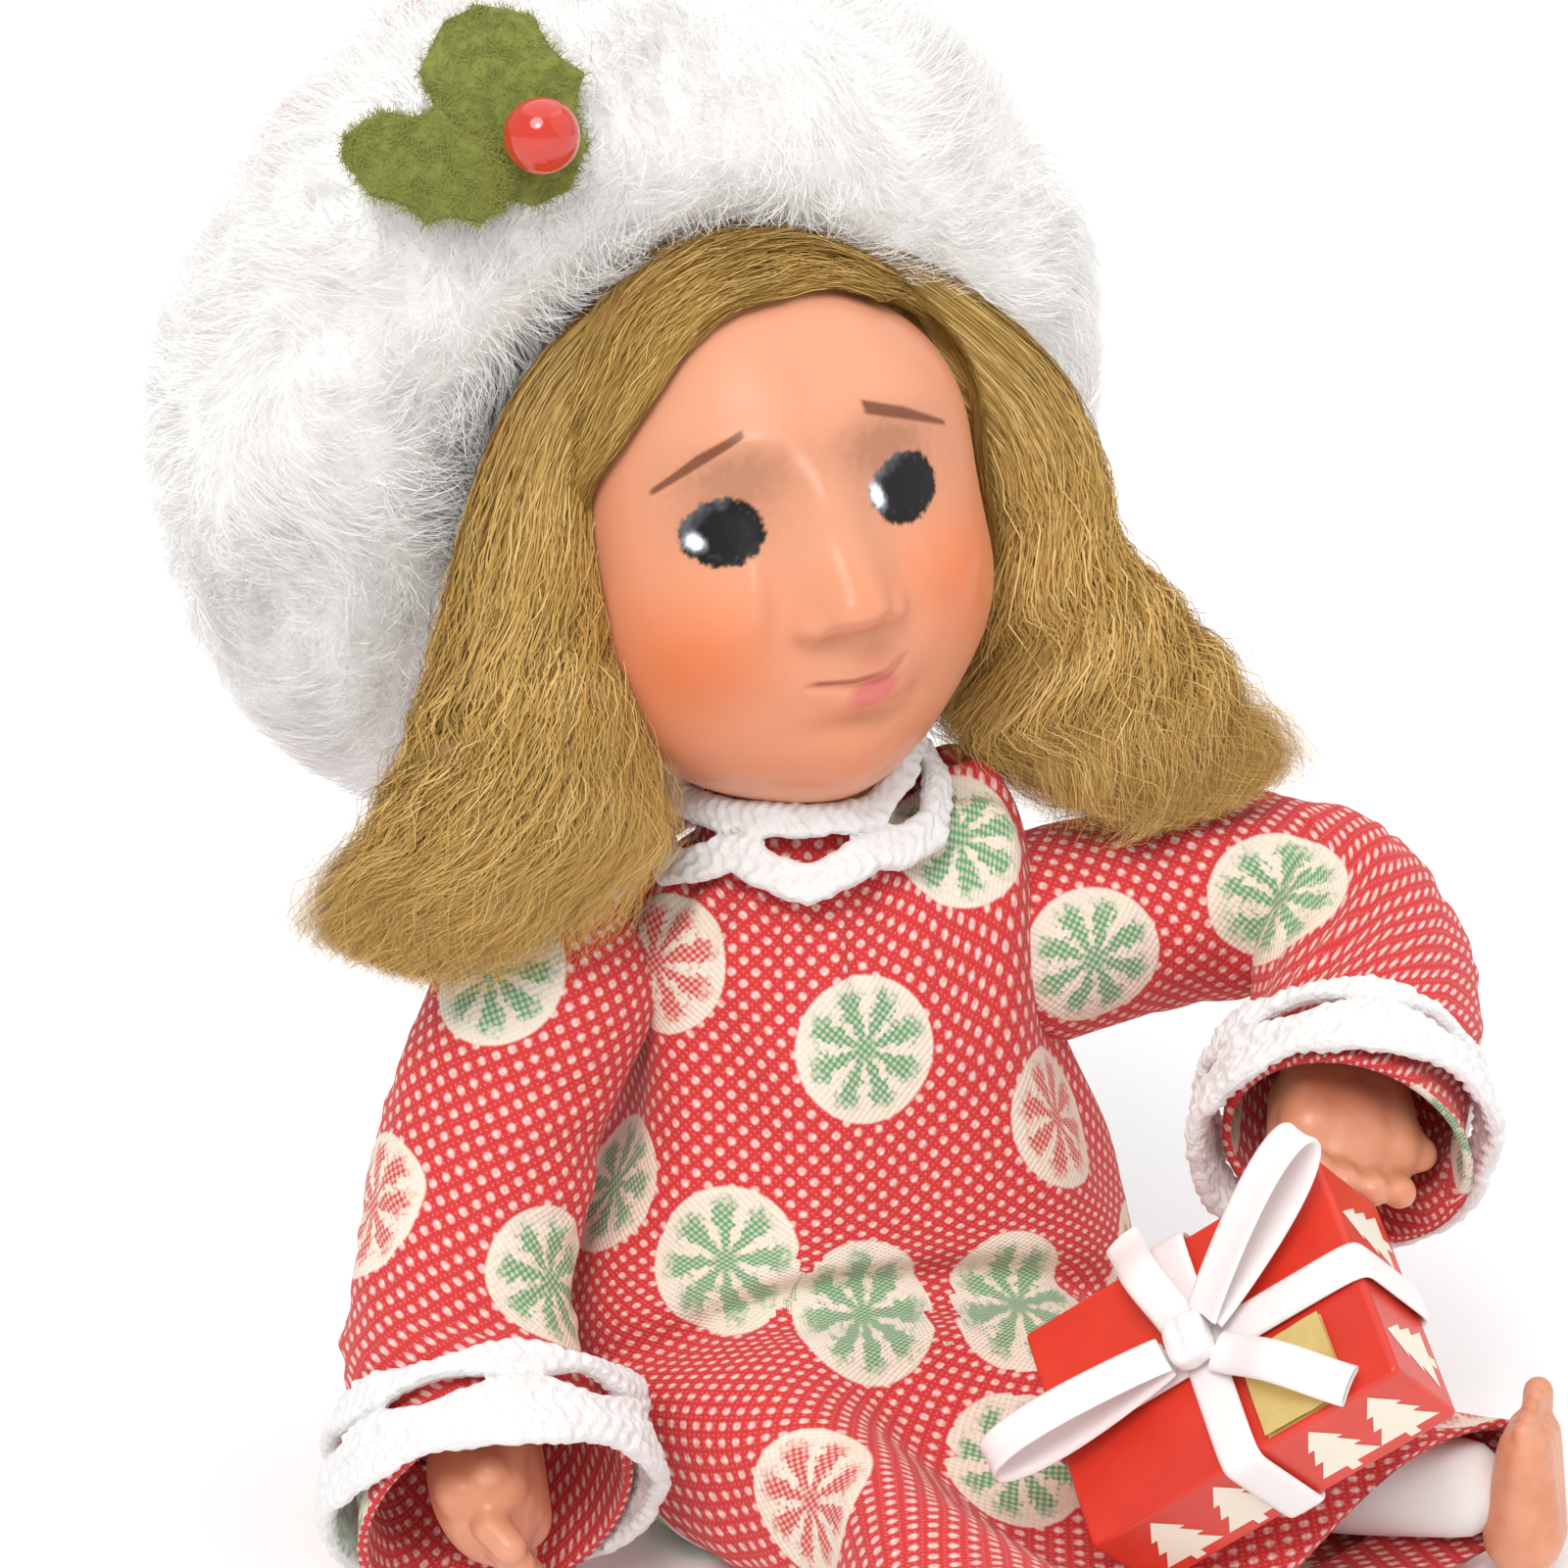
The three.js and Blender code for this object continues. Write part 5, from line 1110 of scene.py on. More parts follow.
def face_relief(x, z):
    """How far the modelled face stands off the egg of the head."""
    side = np.abs(x)
    relief = 4.3 * np.exp(-(side / 2.9) ** 2.2) * bump(z + 3.3, np.where(z > -3.3, 3.6, 2.1))
    relief += 0.5 * bump(np.hypot(x, z + 3.6), 1.7)
    for across, forms in ((side, PAIRED_FORMS), (x, SINGLE_FORMS)):
        for height, place, half_width, level, half_height in forms:
            relief += height * bump(across - place, half_width) * bump(z - level, half_height)
    relief -= 0.5 * bump(z - mouth_line(x), 0.32) * ease(x, -3.9, -2.9) * ease(-x, -4.4, -3.2)
    return relief


def mouth_line(x):
    return np.interp(x, [-3.9, -0.5, 2.0, 4.4], [-9.7, -10.1, -9.9, -8.6])


def head_spread(x, z):
    """How much wider than an egg the head is: at the cheeks, left of the forehead and right of the jaw."""
    jaw = 0.11 * bump(z + 9, 8) - 0.04 * bump(z + HEAD_HALF_HEIGHT, 6)
    forehead = 0.17 * bump(z - 12, 9.5) * ease(x, 0.0, 7.0)
    return 1 + jaw + forehead + 0.17 * bump(z + 16.5, 6) * ease(-x, 0.0, 8.0)


def head_local(turn, z_share, relief_share=1.0):
    """A point of the head: turn starts at the face, z_share is the cosine of its angle from the top."""
    ring = np.sqrt(np.maximum(1 - z_share ** 2, 0))
    x = HEAD_HALF_WIDTH * ring * np.sin(turn)
    y = -HEAD_HALF_DEPTH * ring * np.cos(turn)
    z = HEAD_HALF_HEIGHT * z_share + 0 * turn
    facing = np.maximum(-y / HEAD_HALF_DEPTH, 0)
    relief = relief_share * facing * face_relief(x, z)
    out = unit(np.stack([x, y, z], axis=-1))
    return np.stack([x * head_spread(x, z), y, z], axis=-1) + out * relief[..., None]


def blend_colour(colours, share, other):
    return colours + (other - colours) * share[..., None]


def brow_share(x, z, path):
    """A thin brush stroke along points of x, height and half its thickness."""
    path = np.array(path)
    along = ease(x, path[0, 0] - 0.15, path[0, 0] + 0.3) * ease(-x, -path[-1, 0] - 0.15, -path[-1, 0] + 0.3)
    height = np.interp(x, path[:, 0], path[:, 1])
    half = np.interp(x, path[:, 0], path[:, 2])
    return along * ease(half + 0.1 - np.abs(z - height), 0.0, 0.2)


def face_paint(points):
    """Airbrushed colours by place on the face, and painted shadow under the nose and the lower lip."""
    x, y, z = points[..., 0], points[..., 1], points[..., 2]
    facing = ease(-y, 1.0, 7.0)
    colours = np.broadcast_to(SKIN, points.shape).copy()
    colours = colours * (1 + 0.03 * lumps(points, 5.0, 41))[..., None]
    blush = bump(x + 11.2, 5.2) * bump(z + 6.2, 5.4) + bump(x - 10.8, 5.0) * bump(z + 4.0, 5.2)
    blush = 0.85 * np.clip(blush, 0, 1) + 0.3 * bump(x, 3.0) * bump(z + 2.5, 2.6)
    blush = blush + 0.3 * bump(x, 7) * bump(z + 15.0, 4.0) + 0.25 * bump(np.abs(x) - 14.5, 3.0)
    colours = blend_colour(colours, np.clip(blush, 0, 1) * facing, BLUSH)
    for sign in (-1, 1):
        shade = 0.7 * bump(x - sign * (EYE_X - 1.8), 4.4) * bump(z - 8.0, 2.2)
        shade = shade + 0.55 * bump(x - sign * EYE_X, 4.6) * bump(z - 4.9, 3.4)
        shade = shade * (1 + 0.25 * lumps(points, 0.5, 42))
        colours = blend_colour(colours, np.clip(shade, 0, 0.8) * facing, EYESHADOW_AND_PAINTED_SHADOW)
    # Painted shadow under the nose.
    nose_underside_shadow = 0.14 * bump(np.abs(x) - 1.8, 1.0) * bump(z + 6.2, 0.6)
    nose_underside_shadow = nose_underside_shadow + 0.25 * bump(x, 3.6) * bump(z + 6.2, 0.8)
    colours = blend_colour(colours, nose_underside_shadow * facing, EYESHADOW_AND_PAINTED_SHADOW)
    lip = ease(1.2 - np.hypot((x - 1.2) / 2.4, (z + 11.4 - 0.18 * (x - 1.2)) / 1.25), 0.0, 0.6)
    upper = 0.3 * bump(x - 1.4, 2.2) * bump(z + 9.3, 0.7)
    # Painted shadow below the lower lip.
    under = 0.35 * bump(x - 0.6, 3.4) * bump(z + 13.9, 1.0)
    colours = blend_colour(colours, np.clip(0.9 * lip + upper, 0, 1) * facing, LIP)
    colours = blend_colour(colours, under * facing, EYESHADOW_AND_PAINTED_SHADOW)
    line = ease(0.36 - np.abs(z - mouth_line(x)), 0.0, 0.26)
    line = line * ease(x, -3.9, -3.0) * (1 - 0.6 * ease(x, 0.5, 2.5))
    colours = blend_colour(colours, 0.8 * line * ease(-x, -4.4, -3.4) * facing, MOUTH_LINE)
    for path in BROWS:
        colours = blend_colour(colours, 0.9 * brow_share(x, z, path) * facing, BROW)
    for place, half_width, catch in EYES:
        colours = paint_eye(colours, x - place[0], z - place[1], half_width, catch, points, facing)
    return colours


def paint_eye(colours, x, z, half_width, catch, points, facing):
    """A dark tilted iris with a ragged rim, greyer above, and a fleck of white paint on its right side."""
    x, z = x * 0.96 + z * 0.26, z * 0.96 - x * 0.26
    ragged = 0.07 * lumps(points, 0.5, 43) + 0.06 * lumps(points, 0.22, 45)
    reach = np.hypot(x / half_width, z / 2.65) + ragged
    body = ease(1.04 - reach, 0.0, 0.12)
    grey = ease(z - 0.5 * x + 1.2 * lumps(points, 0.6, 44), 0.6, 3.0) * ease(reach, 0.5, 0.9)
    fleck = ease(lumps(points, 0.4, 46), 0.3, 0.9) * ease(reach, 0.4, 0.9)
    dark = EYE_DARK + (EYE_GREY - EYE_DARK) * np.clip(grey + 0.3 * fleck, 0, 1)[..., None]
    colours = blend_colour(colours, 0.99 * body * facing, dark)
    from_catch = np.hypot((x - catch[0]) / catch[2], (z - catch[1]) / catch[3])
    pale = ease(1.7 - from_catch + 2 * ragged, 0.0, 0.8)
    colours = blend_colour(colours, 0.5 * pale * facing, EYE_PALE)
    return blend_colour(colours, 0.97 * ease(1.15 - from_catch + 2 * ragged, 0.0, 0.4) * facing, EYE_LIGHT)


def add_head():
    """The clay head, finest on its painted face, and the neck under it."""
    front = np.linspace(-FACE_TURN, FACE_TURN, FACE_COLUMNS)
    back = np.linspace(FACE_TURN, math.tau - FACE_TURN, 52)[1:-1]
    turns = np.concatenate([front, back])[None, :]
    z_face = np.linspace(*FACE_SPAN, FACE_ROWS) / HEAD_HALF_HEIGHT
    top = np.cos(np.linspace(0.015, math.acos(z_face[0]), 26))[:-1]
    low = np.cos(np.linspace(math.acos(z_face[-1]), math.pi - 0.015, 26))[1:]
    shares = np.concatenate([top, z_face, low])[:, None]
    points = head_local(turns, shares)
    colours = face_paint(points)
    poles = [np.broadcast_to([0, 0, end * HEAD_HALF_HEIGHT], (1, turns.size, 3)) for end in (1, -1)]
    points = np.concatenate([poles[0], points, poles[1]])
    colours = np.concatenate([colours[:1], colours, colours[-1:]])
    faces = grid_faces(len(points), turns.size, wrap=True)
    head = make_piece("head_clay", to_figure(points), faces[:, ::-1], CLAY, "head_and_hat")
    set_colours(head, "paint", colours)
    dress("head")
    path = np.linspace([0, 0, NECK_BOTTOM + NECK_RADIUS * 0.15], [0, 0, HEAD_CENTRE[2] - 10], 20)
    neck_points, neck_faces = closed_tube(path, np.full(20, NECK_RADIUS), 48)
    neck_points[:, 2] = np.maximum(neck_points[:, 2], NECK_BOTTOM)
    neck = make_piece("neck_clay", neck_points, neck_faces, CLAY_HAND, "head_and_hat")
    dress()


def ribbons(name, paths, widths, facing, tones, material, body):
    """Thin tapered fibres: paths is strands by points, facing the direction their flat side looks."""
    count, steps, _ = paths.shape
    runs = unit(np.gradient(paths, axis=1))
    sides = unit(np.cross(runs, facing))
    left = paths - sides * widths[..., None] / 2
    right = paths + sides * widths[..., None] / 2
    points = np.stack([left, right], axis=2).reshape(-1, 3)
    strand, step = np.meshgrid(np.arange(count), np.arange(steps - 1), indexing="ij")
    base = (strand * steps + step) * 2
    faces = np.stack([base, base + 1, base + 3, base + 2], axis=-1).reshape(-1, 4)
    piece = make_piece(name, points, faces, material, body)
    along = np.broadcast_to(np.linspace(0.01, 0.99, steps)[None, :], (count, steps))
    tone = np.clip(tones, 0.01, 0.99)[:, None]
    uv = np.stack([
        np.stack([tone - 0.004 + 0 * along, along], axis=-1),
        np.stack([tone + 0.004 + 0 * along, along], axis=-1),
    ], axis=2)
    set_uv(piece, "OFBake", uv)
    return piece


def lock_frames(stations, shares):
    """Rows along a lock, with the direction its flat side looks and the one across it."""
    rows = spline(stations, shares)
    runs = unit(np.gradient(rows[:, :3], axis=0))
    flat = unit(LOCK_FACING - runs * (runs @ LOCK_FACING)[:, None])
    return rows, flat, np.cross(runs, flat)


def add_lock(side):
    """A smooth inner lock with crimped, clumped fibres over it."""
    lock = LOCKS[side]
    shares = np.linspace(0, 1, LOCK_ROWS)
    rows, flat, across = lock_frames(lock.stations, shares)
    angles = np.linspace(0, math.tau, LOCK_COLUMNS, endpoint=False)
    taper = 0.66 * ease(shares, 0.0, 0.05) * ease(-shares, -0.86, -0.5)
    wide = (taper * rows[:, 3] / 2)[:, None] * np.cos(angles)
    thick = (taper * rows[:, 4] / 2)[:, None] * np.sin(angles)
    rings = rows[:, None, :3] + wide[..., None] * across[:, None] + thick[..., None] * flat[:, None]
    faces = grid_faces(LOCK_ROWS, LOCK_COLUMNS, wrap=True)
    under = make_piece("hair_under_" + side, rings, faces, HAIR_UNDER, None)
    rest_on_shoulders(under)
    dress("hair_lock_" + side)
    random = np.random.default_rng(lock.seed)
    for piece in range(lock.pieces):
        add_lock_fibres(f"hair_fibres_{side}_{piece + 1}", side, random)


def rest_on_shoulders(piece):
    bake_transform(piece)


def outside_limb(points, start, end, radius):
    """Moves points that lie inside a round limb out to its surface."""
    run = end - start
    share = np.clip((points - start) @ run / (run @ run), 0, 1)
    away = points - (start + share[..., None] * run)
    distance = np.linalg.norm(away, axis=-1)
    push = np.where(distance < radius, radius / np.maximum(distance, 0.1), 1.0)
    return points + away * (push - 1)[..., None]


def add_lock_fibres(name, side, random):
    """Fine crimped fibres in wavy clumps that follow one lock and end in wisps at its lower edge."""
    lock = LOCKS[side]
    count = LOCK_PIECE_STRANDS
    clump_angle = random.uniform(0, math.tau, LOCK_CLUMPS)
    clump_reach = np.sqrt(random.uniform(0.2, 1.0, LOCK_CLUMPS))
    clump_tone = random.normal(0, 0.14, LOCK_CLUMPS)
    clump_phase = random.uniform(0, math.tau, LOCK_CLUMPS)
    clump_turns = random.uniform(4.0, 6.5, LOCK_CLUMPS)
    clump_end = random.normal(0, 1.4, LOCK_CLUMPS)
    member = random.integers(0, LOCK_CLUMPS, count)
    angle = random.normal(0, 0.26, count)
    reach = random.normal(0, 0.11, count)
    stray = np.where(random.uniform(0, 1, count) < 0.07, random.uniform(0.5, 3.5, count), 0.0)
    end_shift = clump_end[member] + random.normal(0, 1.3, count)
    rows, flat, across = lock_frames(lock.stations, np.linspace(0, 1, LOCK_FINE_ROWS))

    def along(share, values):
        place = np.clip(share, 0, 1) * (LOCK_FINE_ROWS - 1)
        low = np.minimum(place.astype(int), LOCK_FINE_ROWS - 2)
        mix = (place - low)[..., None]
        return values[low] * (1 - mix) + values[low + 1] * mix

    def follow(share):
        row = along(share, rows)
        tight = 1 - 0.45 * share ** 2
        turn = clump_angle[member][:, None] + angle[:, None] * tight
        far = np.clip(clump_reach[member][:, None] + reach[:, None] * tight, 0.1, 1.12)
        swing = clump_turns[member][:, None] * math.tau * share + clump_phase[member][:, None]
        swell = ease(share, 0.1, 0.5)
        loose = stray[:, None] * ease(share, 0.3, 1.0)
        sideways = row[..., 3] / 2 * far * np.cos(turn) + swell * 1.1 * np.sin(swing) + loose * np.cos(turn)
        outward = row[..., 4] / 2 * far * np.sin(turn) + swell * 0.8 * np.cos(swing) + loose * np.sin(turn)
        across_here = along(share, across)
        flat_here = along(share, flat)
        facing = across_here * (np.cos(turn) / row[..., 3])[..., None]
        facing = facing + flat_here * (np.sin(turn) / row[..., 4])[..., None]
        points = row[..., :3] + across_here * sideways[..., None] + flat_here * outward[..., None]
        half = np.maximum(row[..., 3] / 2 * np.abs(across_here[..., 0]), 2.0) * np.sign(lock.outer[1][0])
        spread = np.clip((points[..., 0] - row[..., 0] + half) / (2 * half), -0.12, 1.12)
        inner_x = np.interp(points[..., 2], *lock.inner)
        outer_x = np.interp(points[..., 2], *lock.outer)
        points[..., 0] += ease(share, 0.12, 0.4) * (inner_x + spread * (outer_x - inner_x) - points[..., 0])
        return points, unit(facing), far

    start = random.uniform(-0.02, 0.1, count)
    trial = start[:, None] + (1 - start)[:, None] * np.linspace(0, 1, LOCK_TRIAL_POINTS)[None, :]
    paths, _, _ = follow(trial)
    limit = np.interp(paths[..., 0], *lock.edge) + end_shift[:, None]
    below = (paths[..., 2] < limit) & (trial > 0.3)
    first = np.where(below.any(axis=1), below.argmax(axis=1), LOCK_TRIAL_POINTS - 1)
    end = trial[np.arange(count), first] - random.uniform(0, 0.05, count)
    share = start[:, None] + (end - start)[:, None] * np.linspace(0, 1, STRAND_POINTS)[None, :]
    paths, facing, far = follow(share)
    shift = random.uniform(0, 400, (count, 1, 3))
    frizz = lump_vectors(paths + shift, 2.4, 101)
    drift = lump_vectors(paths + shift, 7.0, 104)
    paths = paths + (0.6 * frizz + 1.1 * drift) * ease(share, 0.05, 0.35)[..., None]
    paths = outside_limb(paths, ARMS[side].shoulder, ARMS[side].elbow, SLEEVE_HEAD_RADIUS + 0.7 + 1.4 * far)
    facing = unit(facing + random.normal(0, 0.55, (count, 1, 3)))
    taper = 1 - 0.8 * ease(np.linspace(0, 1, STRAND_POINTS), 0.5, 1.0)
    widths = STRAND_WIDTH * random.uniform(0.6, 1.3, count)[:, None] * taper
    # Clumps deep inside the lock get darker tones: painted shade.
    tones = 0.5 + clump_tone[member] + random.normal(0, 0.13, count) + 0.35 * (clump_reach[member] - 0.7)
    hair = ribbons(name, paths, widths, facing, tones, HAIR, None)
    rest_on_shoulders(hair)
    dress("hair_lock_" + side)


def hairline(x, z):
    """Where the hair starts on the head; in front of it the head is bare."""
    left = ease(x, 0.0, 11.0)
    return np.interp(z, *HAIRLINE) * (1 - left) + np.interp(z, *HAIRLINE_LEFT) * left


def add_cap_hair():
    """Hair over the top of the forehead and the back of the head, combed from a parting to each side."""
    turns = np.linspace(0, math.tau, CAP_COLUMNS, endpoint=False)[None, :]
    shares = np.cos(np.linspace(0.02, 1.95, CAP_ROWS))[:, None]
    points = head_local(turns, shares, 0.0) * (1 + CLEARANCE * 2 / HEAD_HALF_HEIGHT)
    front = ease(hairline(points[..., 0], points[..., 2]) - points[..., 1], -1.5, 0.5)
    points = points * (1 - 0.2 * front)[..., None]
    faces = grid_faces(CAP_ROWS, CAP_COLUMNS, wrap=True)[:, ::-1]
    cap = make_piece("hair_cap_under", to_figure(points), faces, HAIR_UNDER, "head_and_hat")
    dress("hair_cap")
    random = np.random.default_rng(52)
    for piece in range(CAP_PIECES):
        add_cap_fibres(f"hair_fibres_cap_{piece + 1}", random)


def add_cap_fibres(name, random):
    """Fibres that start at the parting and lie along the hairline to each side."""
    count = CAP_STRANDS
    sign = np.where(random.uniform(0, 1, count) < 0.5, -1.0, 1.0)[:, None]
    behind = 13 * random.uniform(0, 1, count) ** 1.7
    steps = np.linspace(0, 1, STRAND_POINTS)[None, :]
    sweep = -0.12 + steps * random.uniform(1.1, 2.0, count)[:, None]
    lift = 0.9 + random.uniform(0, 1, count)[:, None] * (0.5 + 0.3 * np.minimum(behind, 5))[:, None]
    pace = random.uniform(9, 15, count)[:, None]
    phase = random.uniform(0, math.tau, count)[:, None]
    wave = 0.7 * np.sin(steps * pace + phase)
    z = (HEAD_HALF_HEIGHT + lift) * np.cos(sweep)
    x = sign * (HEAD_HALF_WIDTH + lift) * np.sin(sweep)
    forward = hairline(x, z) + behind[:, None] + wave * np.minimum(behind, 1.0)[:, None]
    ring = np.sqrt(1 - np.clip(forward / (HEAD_HALF_DEPTH + lift), -0.9, 0.9) ** 2)
    x = x * ring
    z = z * ring
    paths = np.stack([x * head_spread(x, z), forward, z], axis=-1)
    shift = random.uniform(0, 400, (count, 1, 3))
    paths = paths + 0.36 * lump_vectors(paths + shift, 2.6, 61)
    facing = unit(paths / np.array([HEAD_HALF_WIDTH, HEAD_HALF_DEPTH, HEAD_HALF_HEIGHT]))
    facing = unit(facing + random.normal(0, 0.3, (count, 1, 3)))
    widths = STRAND_WIDTH * random.uniform(0.7, 1.3, count)[:, None] * (1 - 0.6 * steps)
    tones = 0.5 + random.normal(0, 0.17, count)
    hair = ribbons(name, to_figure(paths), widths, facing @ HEAD_TURN.T, tones, HAIR, "head_and_hat")
    dress("hair_cap")


def hat_frame():
    axis = unit(HAT_AXIS)
    right = unit(np.cross(UP, axis))
    return np.stack([right, np.cross(axis, right), axis])


HAT_FRAME = hat_frame()


def from_hat(points):
    return points @ HAT_FRAME + HAT_CENTRE


def brim_local(around, roll, lift):
    reach = BRIM_RING_RADIUS + lift * np.cos(roll)
    return np.stack([reach * np.cos(around), reach * np.sin(around), lift * np.sin(roll)], axis=-1)


def add_fur():
    """The brim's backing and its pile."""
    around = np.linspace(0, math.tau, BRIM_COLUMNS, endpoint=False)[None, :]
    roll = np.linspace(0, math.tau, BRIM_ROWS, endpoint=False)[:, None]
    points = brim_local(around + 0 * roll, roll + 0 * around, BRIM_ROLL_RADIUS - FUR_BACKING_DEPTH)
    points = points + grid_normals(points) * 0.4 * lumps(points, 4.0, 71)[..., None]
    ring = np.concatenate([points, points[:1]])
    faces = grid_faces(BRIM_ROWS + 1, BRIM_COLUMNS, wrap=True)
    backing = make_piece("brim_backing", from_hat(ring), faces, FUR_BACKING, "head_and_hat")
    dress("hat_brim")
    random = np.random.default_rng(72)
    for piece in range(FUR_PIECES):
        add_fur_fibres(f"brim_fur_{piece + 1}", random)


def add_fur_fibres(name, random):
    """Bent hairs that lean together in patches and small clumps."""
    steps = np.linspace(0, 1, 4)
    count = FUR_STRANDS // FUR_PIECES
    around = random.uniform(0, math.tau, count)
    roll = random.uniform(0, math.tau, count)
    room = (BRIM_RING_RADIUS + FUR_SPREAD * np.cos(roll)) / (BRIM_RING_RADIUS + FUR_SPREAD)
    keep = random.uniform(0, 1, count) < room
    around, roll = around[keep], roll[keep]
    count = len(around)
    start = brim_local(around, roll, BRIM_ROLL_RADIUS - FUR_BACKING_DEPTH - 0.4)
    out = unit(start - brim_local(around, roll, 0.0))
    lean = 0.9 * lump_vectors(start, 9.0, 73) + 0.7 * lump_vectors(start, 2.2, 76)
    lean = lean + random.normal(0, 0.22, (count, 3))
    lean = lean - out * (lean * out).sum(axis=-1, keepdims=True)
    length = FUR_LENGTH * random.uniform(0.75, 1.18, count)
    bend = (steps ** 1.7)[None, :, None]
    rise = np.minimum(length * 0.62, FUR_BACKING_DEPTH + 1.0)[:, None, None]
    paths = start[:, None] + out[:, None] * (np.sin(steps * 1.5)[None, :, None] * rise)
    paths = paths + lean[:, None] * bend * length[:, None, None]
    facing = unit(out[:, None] * 0.2 + np.cross(out, random.normal(0, 1, (count, 3)))[:, None])
    facing = np.broadcast_to(facing, paths.shape) @ HAT_FRAME
    widths = random.uniform(0.08, 0.13, count)[:, None] * (1 - 0.8 * steps ** 1.5)[None, :]
    tones = random.uniform(0.35, 1.0, count)
    fur = ribbons(name, from_hat(paths), widths, facing, tones, FUR, "head_and_hat")
    dress("hat_brim")


def add_crown():
    """The hat's cloth bag, gathered where it leaves the brim."""
    mouth = BRIM_RING_RADIUS - BRIM_ROLL_RADIUS - CLEARANCE * 2
    start = BRIM_ROLL_RADIUS - 1.4
    profile = np.array([
        (mouth + 6, start - 1.0),
        (CROWN_BULGE - 2.5, start + 1.0),
        (CROWN_BULGE, start + 5),
        (CROWN_BULGE * 0.96, CROWN_HEIGHT * 0.72),
        (CROWN_BULGE * 0.78, CROWN_HEIGHT * 0.9),
        (CROWN_BULGE * 0.42, CROWN_HEIGHT * 0.985),
        (CROWN_BULGE * 0.001, CROWN_HEIGHT),
    ])
    shares = np.linspace(0, 1, CROWN_ROWS)
    rows = spline(profile, shares)
    angles = np.linspace(0, math.tau, CROWN_COLUMNS)
    waves = np.cos(CROWN_GATHERS * angles) + 0.5 * np.cos(17 * angles + 1.0) + 0.4 * np.cos(23 * angles + 2.0)
    strength = CROWN_GATHER_DEPTH * 0.55 * ease(shares, 0.0, 0.2) * ease(-shares, -0.95, -0.5)
    reach = rows[:, :1] * (1 + strength[:, None] * waves[None])
    points = np.stack([reach * np.cos(angles), reach * np.sin(angles), rows[:, 1:2] + 0 * reach], axis=-1)
    points = points + grid_normals(points) * (0.5 * lumps(points, 7.0, 81))[..., None]
    points = from_hat(points)
    faces = grid_faces(CROWN_ROWS, CROWN_COLUMNS)[:, ::-1]
    crown = make_piece("crown_cloth", points, faces, COTTON, "head_and_hat")
    printed(crown, points, [(tuple(points[CROWN_DISC]), RED)], 82)
    dress("hat_crown")


def add_leaf(name, node, place, lift, seed):
    """A holly leaf of felt laid over the brim's roll, with loose fibres on its top and rim."""
    around, roll, heading = np.radians(place[:3])
    length, width = place[3:]
    u = np.linspace(0, 1, LEAF_ROWS)[:, None]
    v = np.linspace(-1, 1, LEAF_COLUMNS)[None, :]
    hollow = np.abs(np.sin(math.pi * (3 * u + 0.5))) ** 0.9
    half = width / 2 * np.sin(math.pi * (0.05 + 0.93 * u)) ** 0.6 * (1.14 - 0.24 * hollow)
    sideways = half * v
    along = length * u + 0 * v
    towards = along * math.cos(heading) - sideways * math.sin(heading)
    over = along * math.sin(heading) + sideways * math.cos(heading)
    turn = around + towards / (BRIM_RING_RADIUS + BRIM_ROLL_RADIUS)
    tilt = roll + over / (BRIM_ROLL_RADIUS + 2)
    edge = np.sqrt(np.clip(1 - np.maximum(np.abs(v), np.abs(2 * u - 1)) ** 10, 0, 1))
    waver = 0.3 * lumps(np.stack([along, sideways, 0 * along], axis=-1), 4.0, seed)
    height = BRIM_ROLL_RADIUS + lift + LEAF_THICKNESS / 2 + 1.5 * u ** 2 + waver
    puff = LEAF_THICKNESS / 2 * edge
    top = brim_local(turn, tilt, height + puff)
    points, faces = slab(top, brim_local(turn, tilt, height - puff))
    leaf = make_piece(name, from_hat(points), faces, FELT, "head_and_hat")
    dress(node)

    random = np.random.default_rng(seed)
    count = LEAF_FIBRES
    row = random.integers(0, LEAF_ROWS, count)
    rim = random.uniform(0, 1, count) < 0.35
    rim_column = random.choice([0, LEAF_COLUMNS - 1], count)
    column = np.where(rim, rim_column, random.integers(0, LEAF_COLUMNS, count))
    start = top[row, column]
    out = unit(start - brim_local(turn[row, column], tilt[row, column], 0.0))
    lean = random.normal(0, 1, (count, 3))
    lean = unit(lean - 0.6 * out * (lean * out).sum(axis=-1, keepdims=True))
    steps = np.linspace(0, 1, 4)
    reach = random.uniform(0.4, 1.1, count)[:, None, None]
    paths = start[:, None] + lean[:, None] * (steps[None, :, None] * reach)
    paths = paths + out[:, None] * (np.sin(steps * math.pi)[None, :, None] * 0.25)
    widths = np.broadcast_to(np.array([0.05, 0.05, 0.045, 0.02]), (count, 4))
    facing = np.broadcast_to(out[:, None], paths.shape) @ HAT_FRAME
    tones = random.uniform(0, 1, count)
    fibres = ribbons(name + "_fibres", from_hat(paths), widths, facing, tones, FELT_FIBRE, "head_and_hat")
    dress()


def ball_mesh(centre, radii, around=64, down=40):
    angles = np.linspace(0, math.tau, around, endpoint=False)[None, :]
    tilt = np.linspace(0.01, math.pi - 0.01, down)[:, None]
    points = np.stack([
        radii[0] * np.sin(tilt) * np.cos(angles),
        radii[1] * np.sin(tilt) * np.sin(angles),
        radii[2] * np.cos(tilt) + 0 * angles,
    ], axis=-1)
    return points.reshape(-1, 3) + centre, grid_faces(down, around, wrap=True)[:, ::-1]


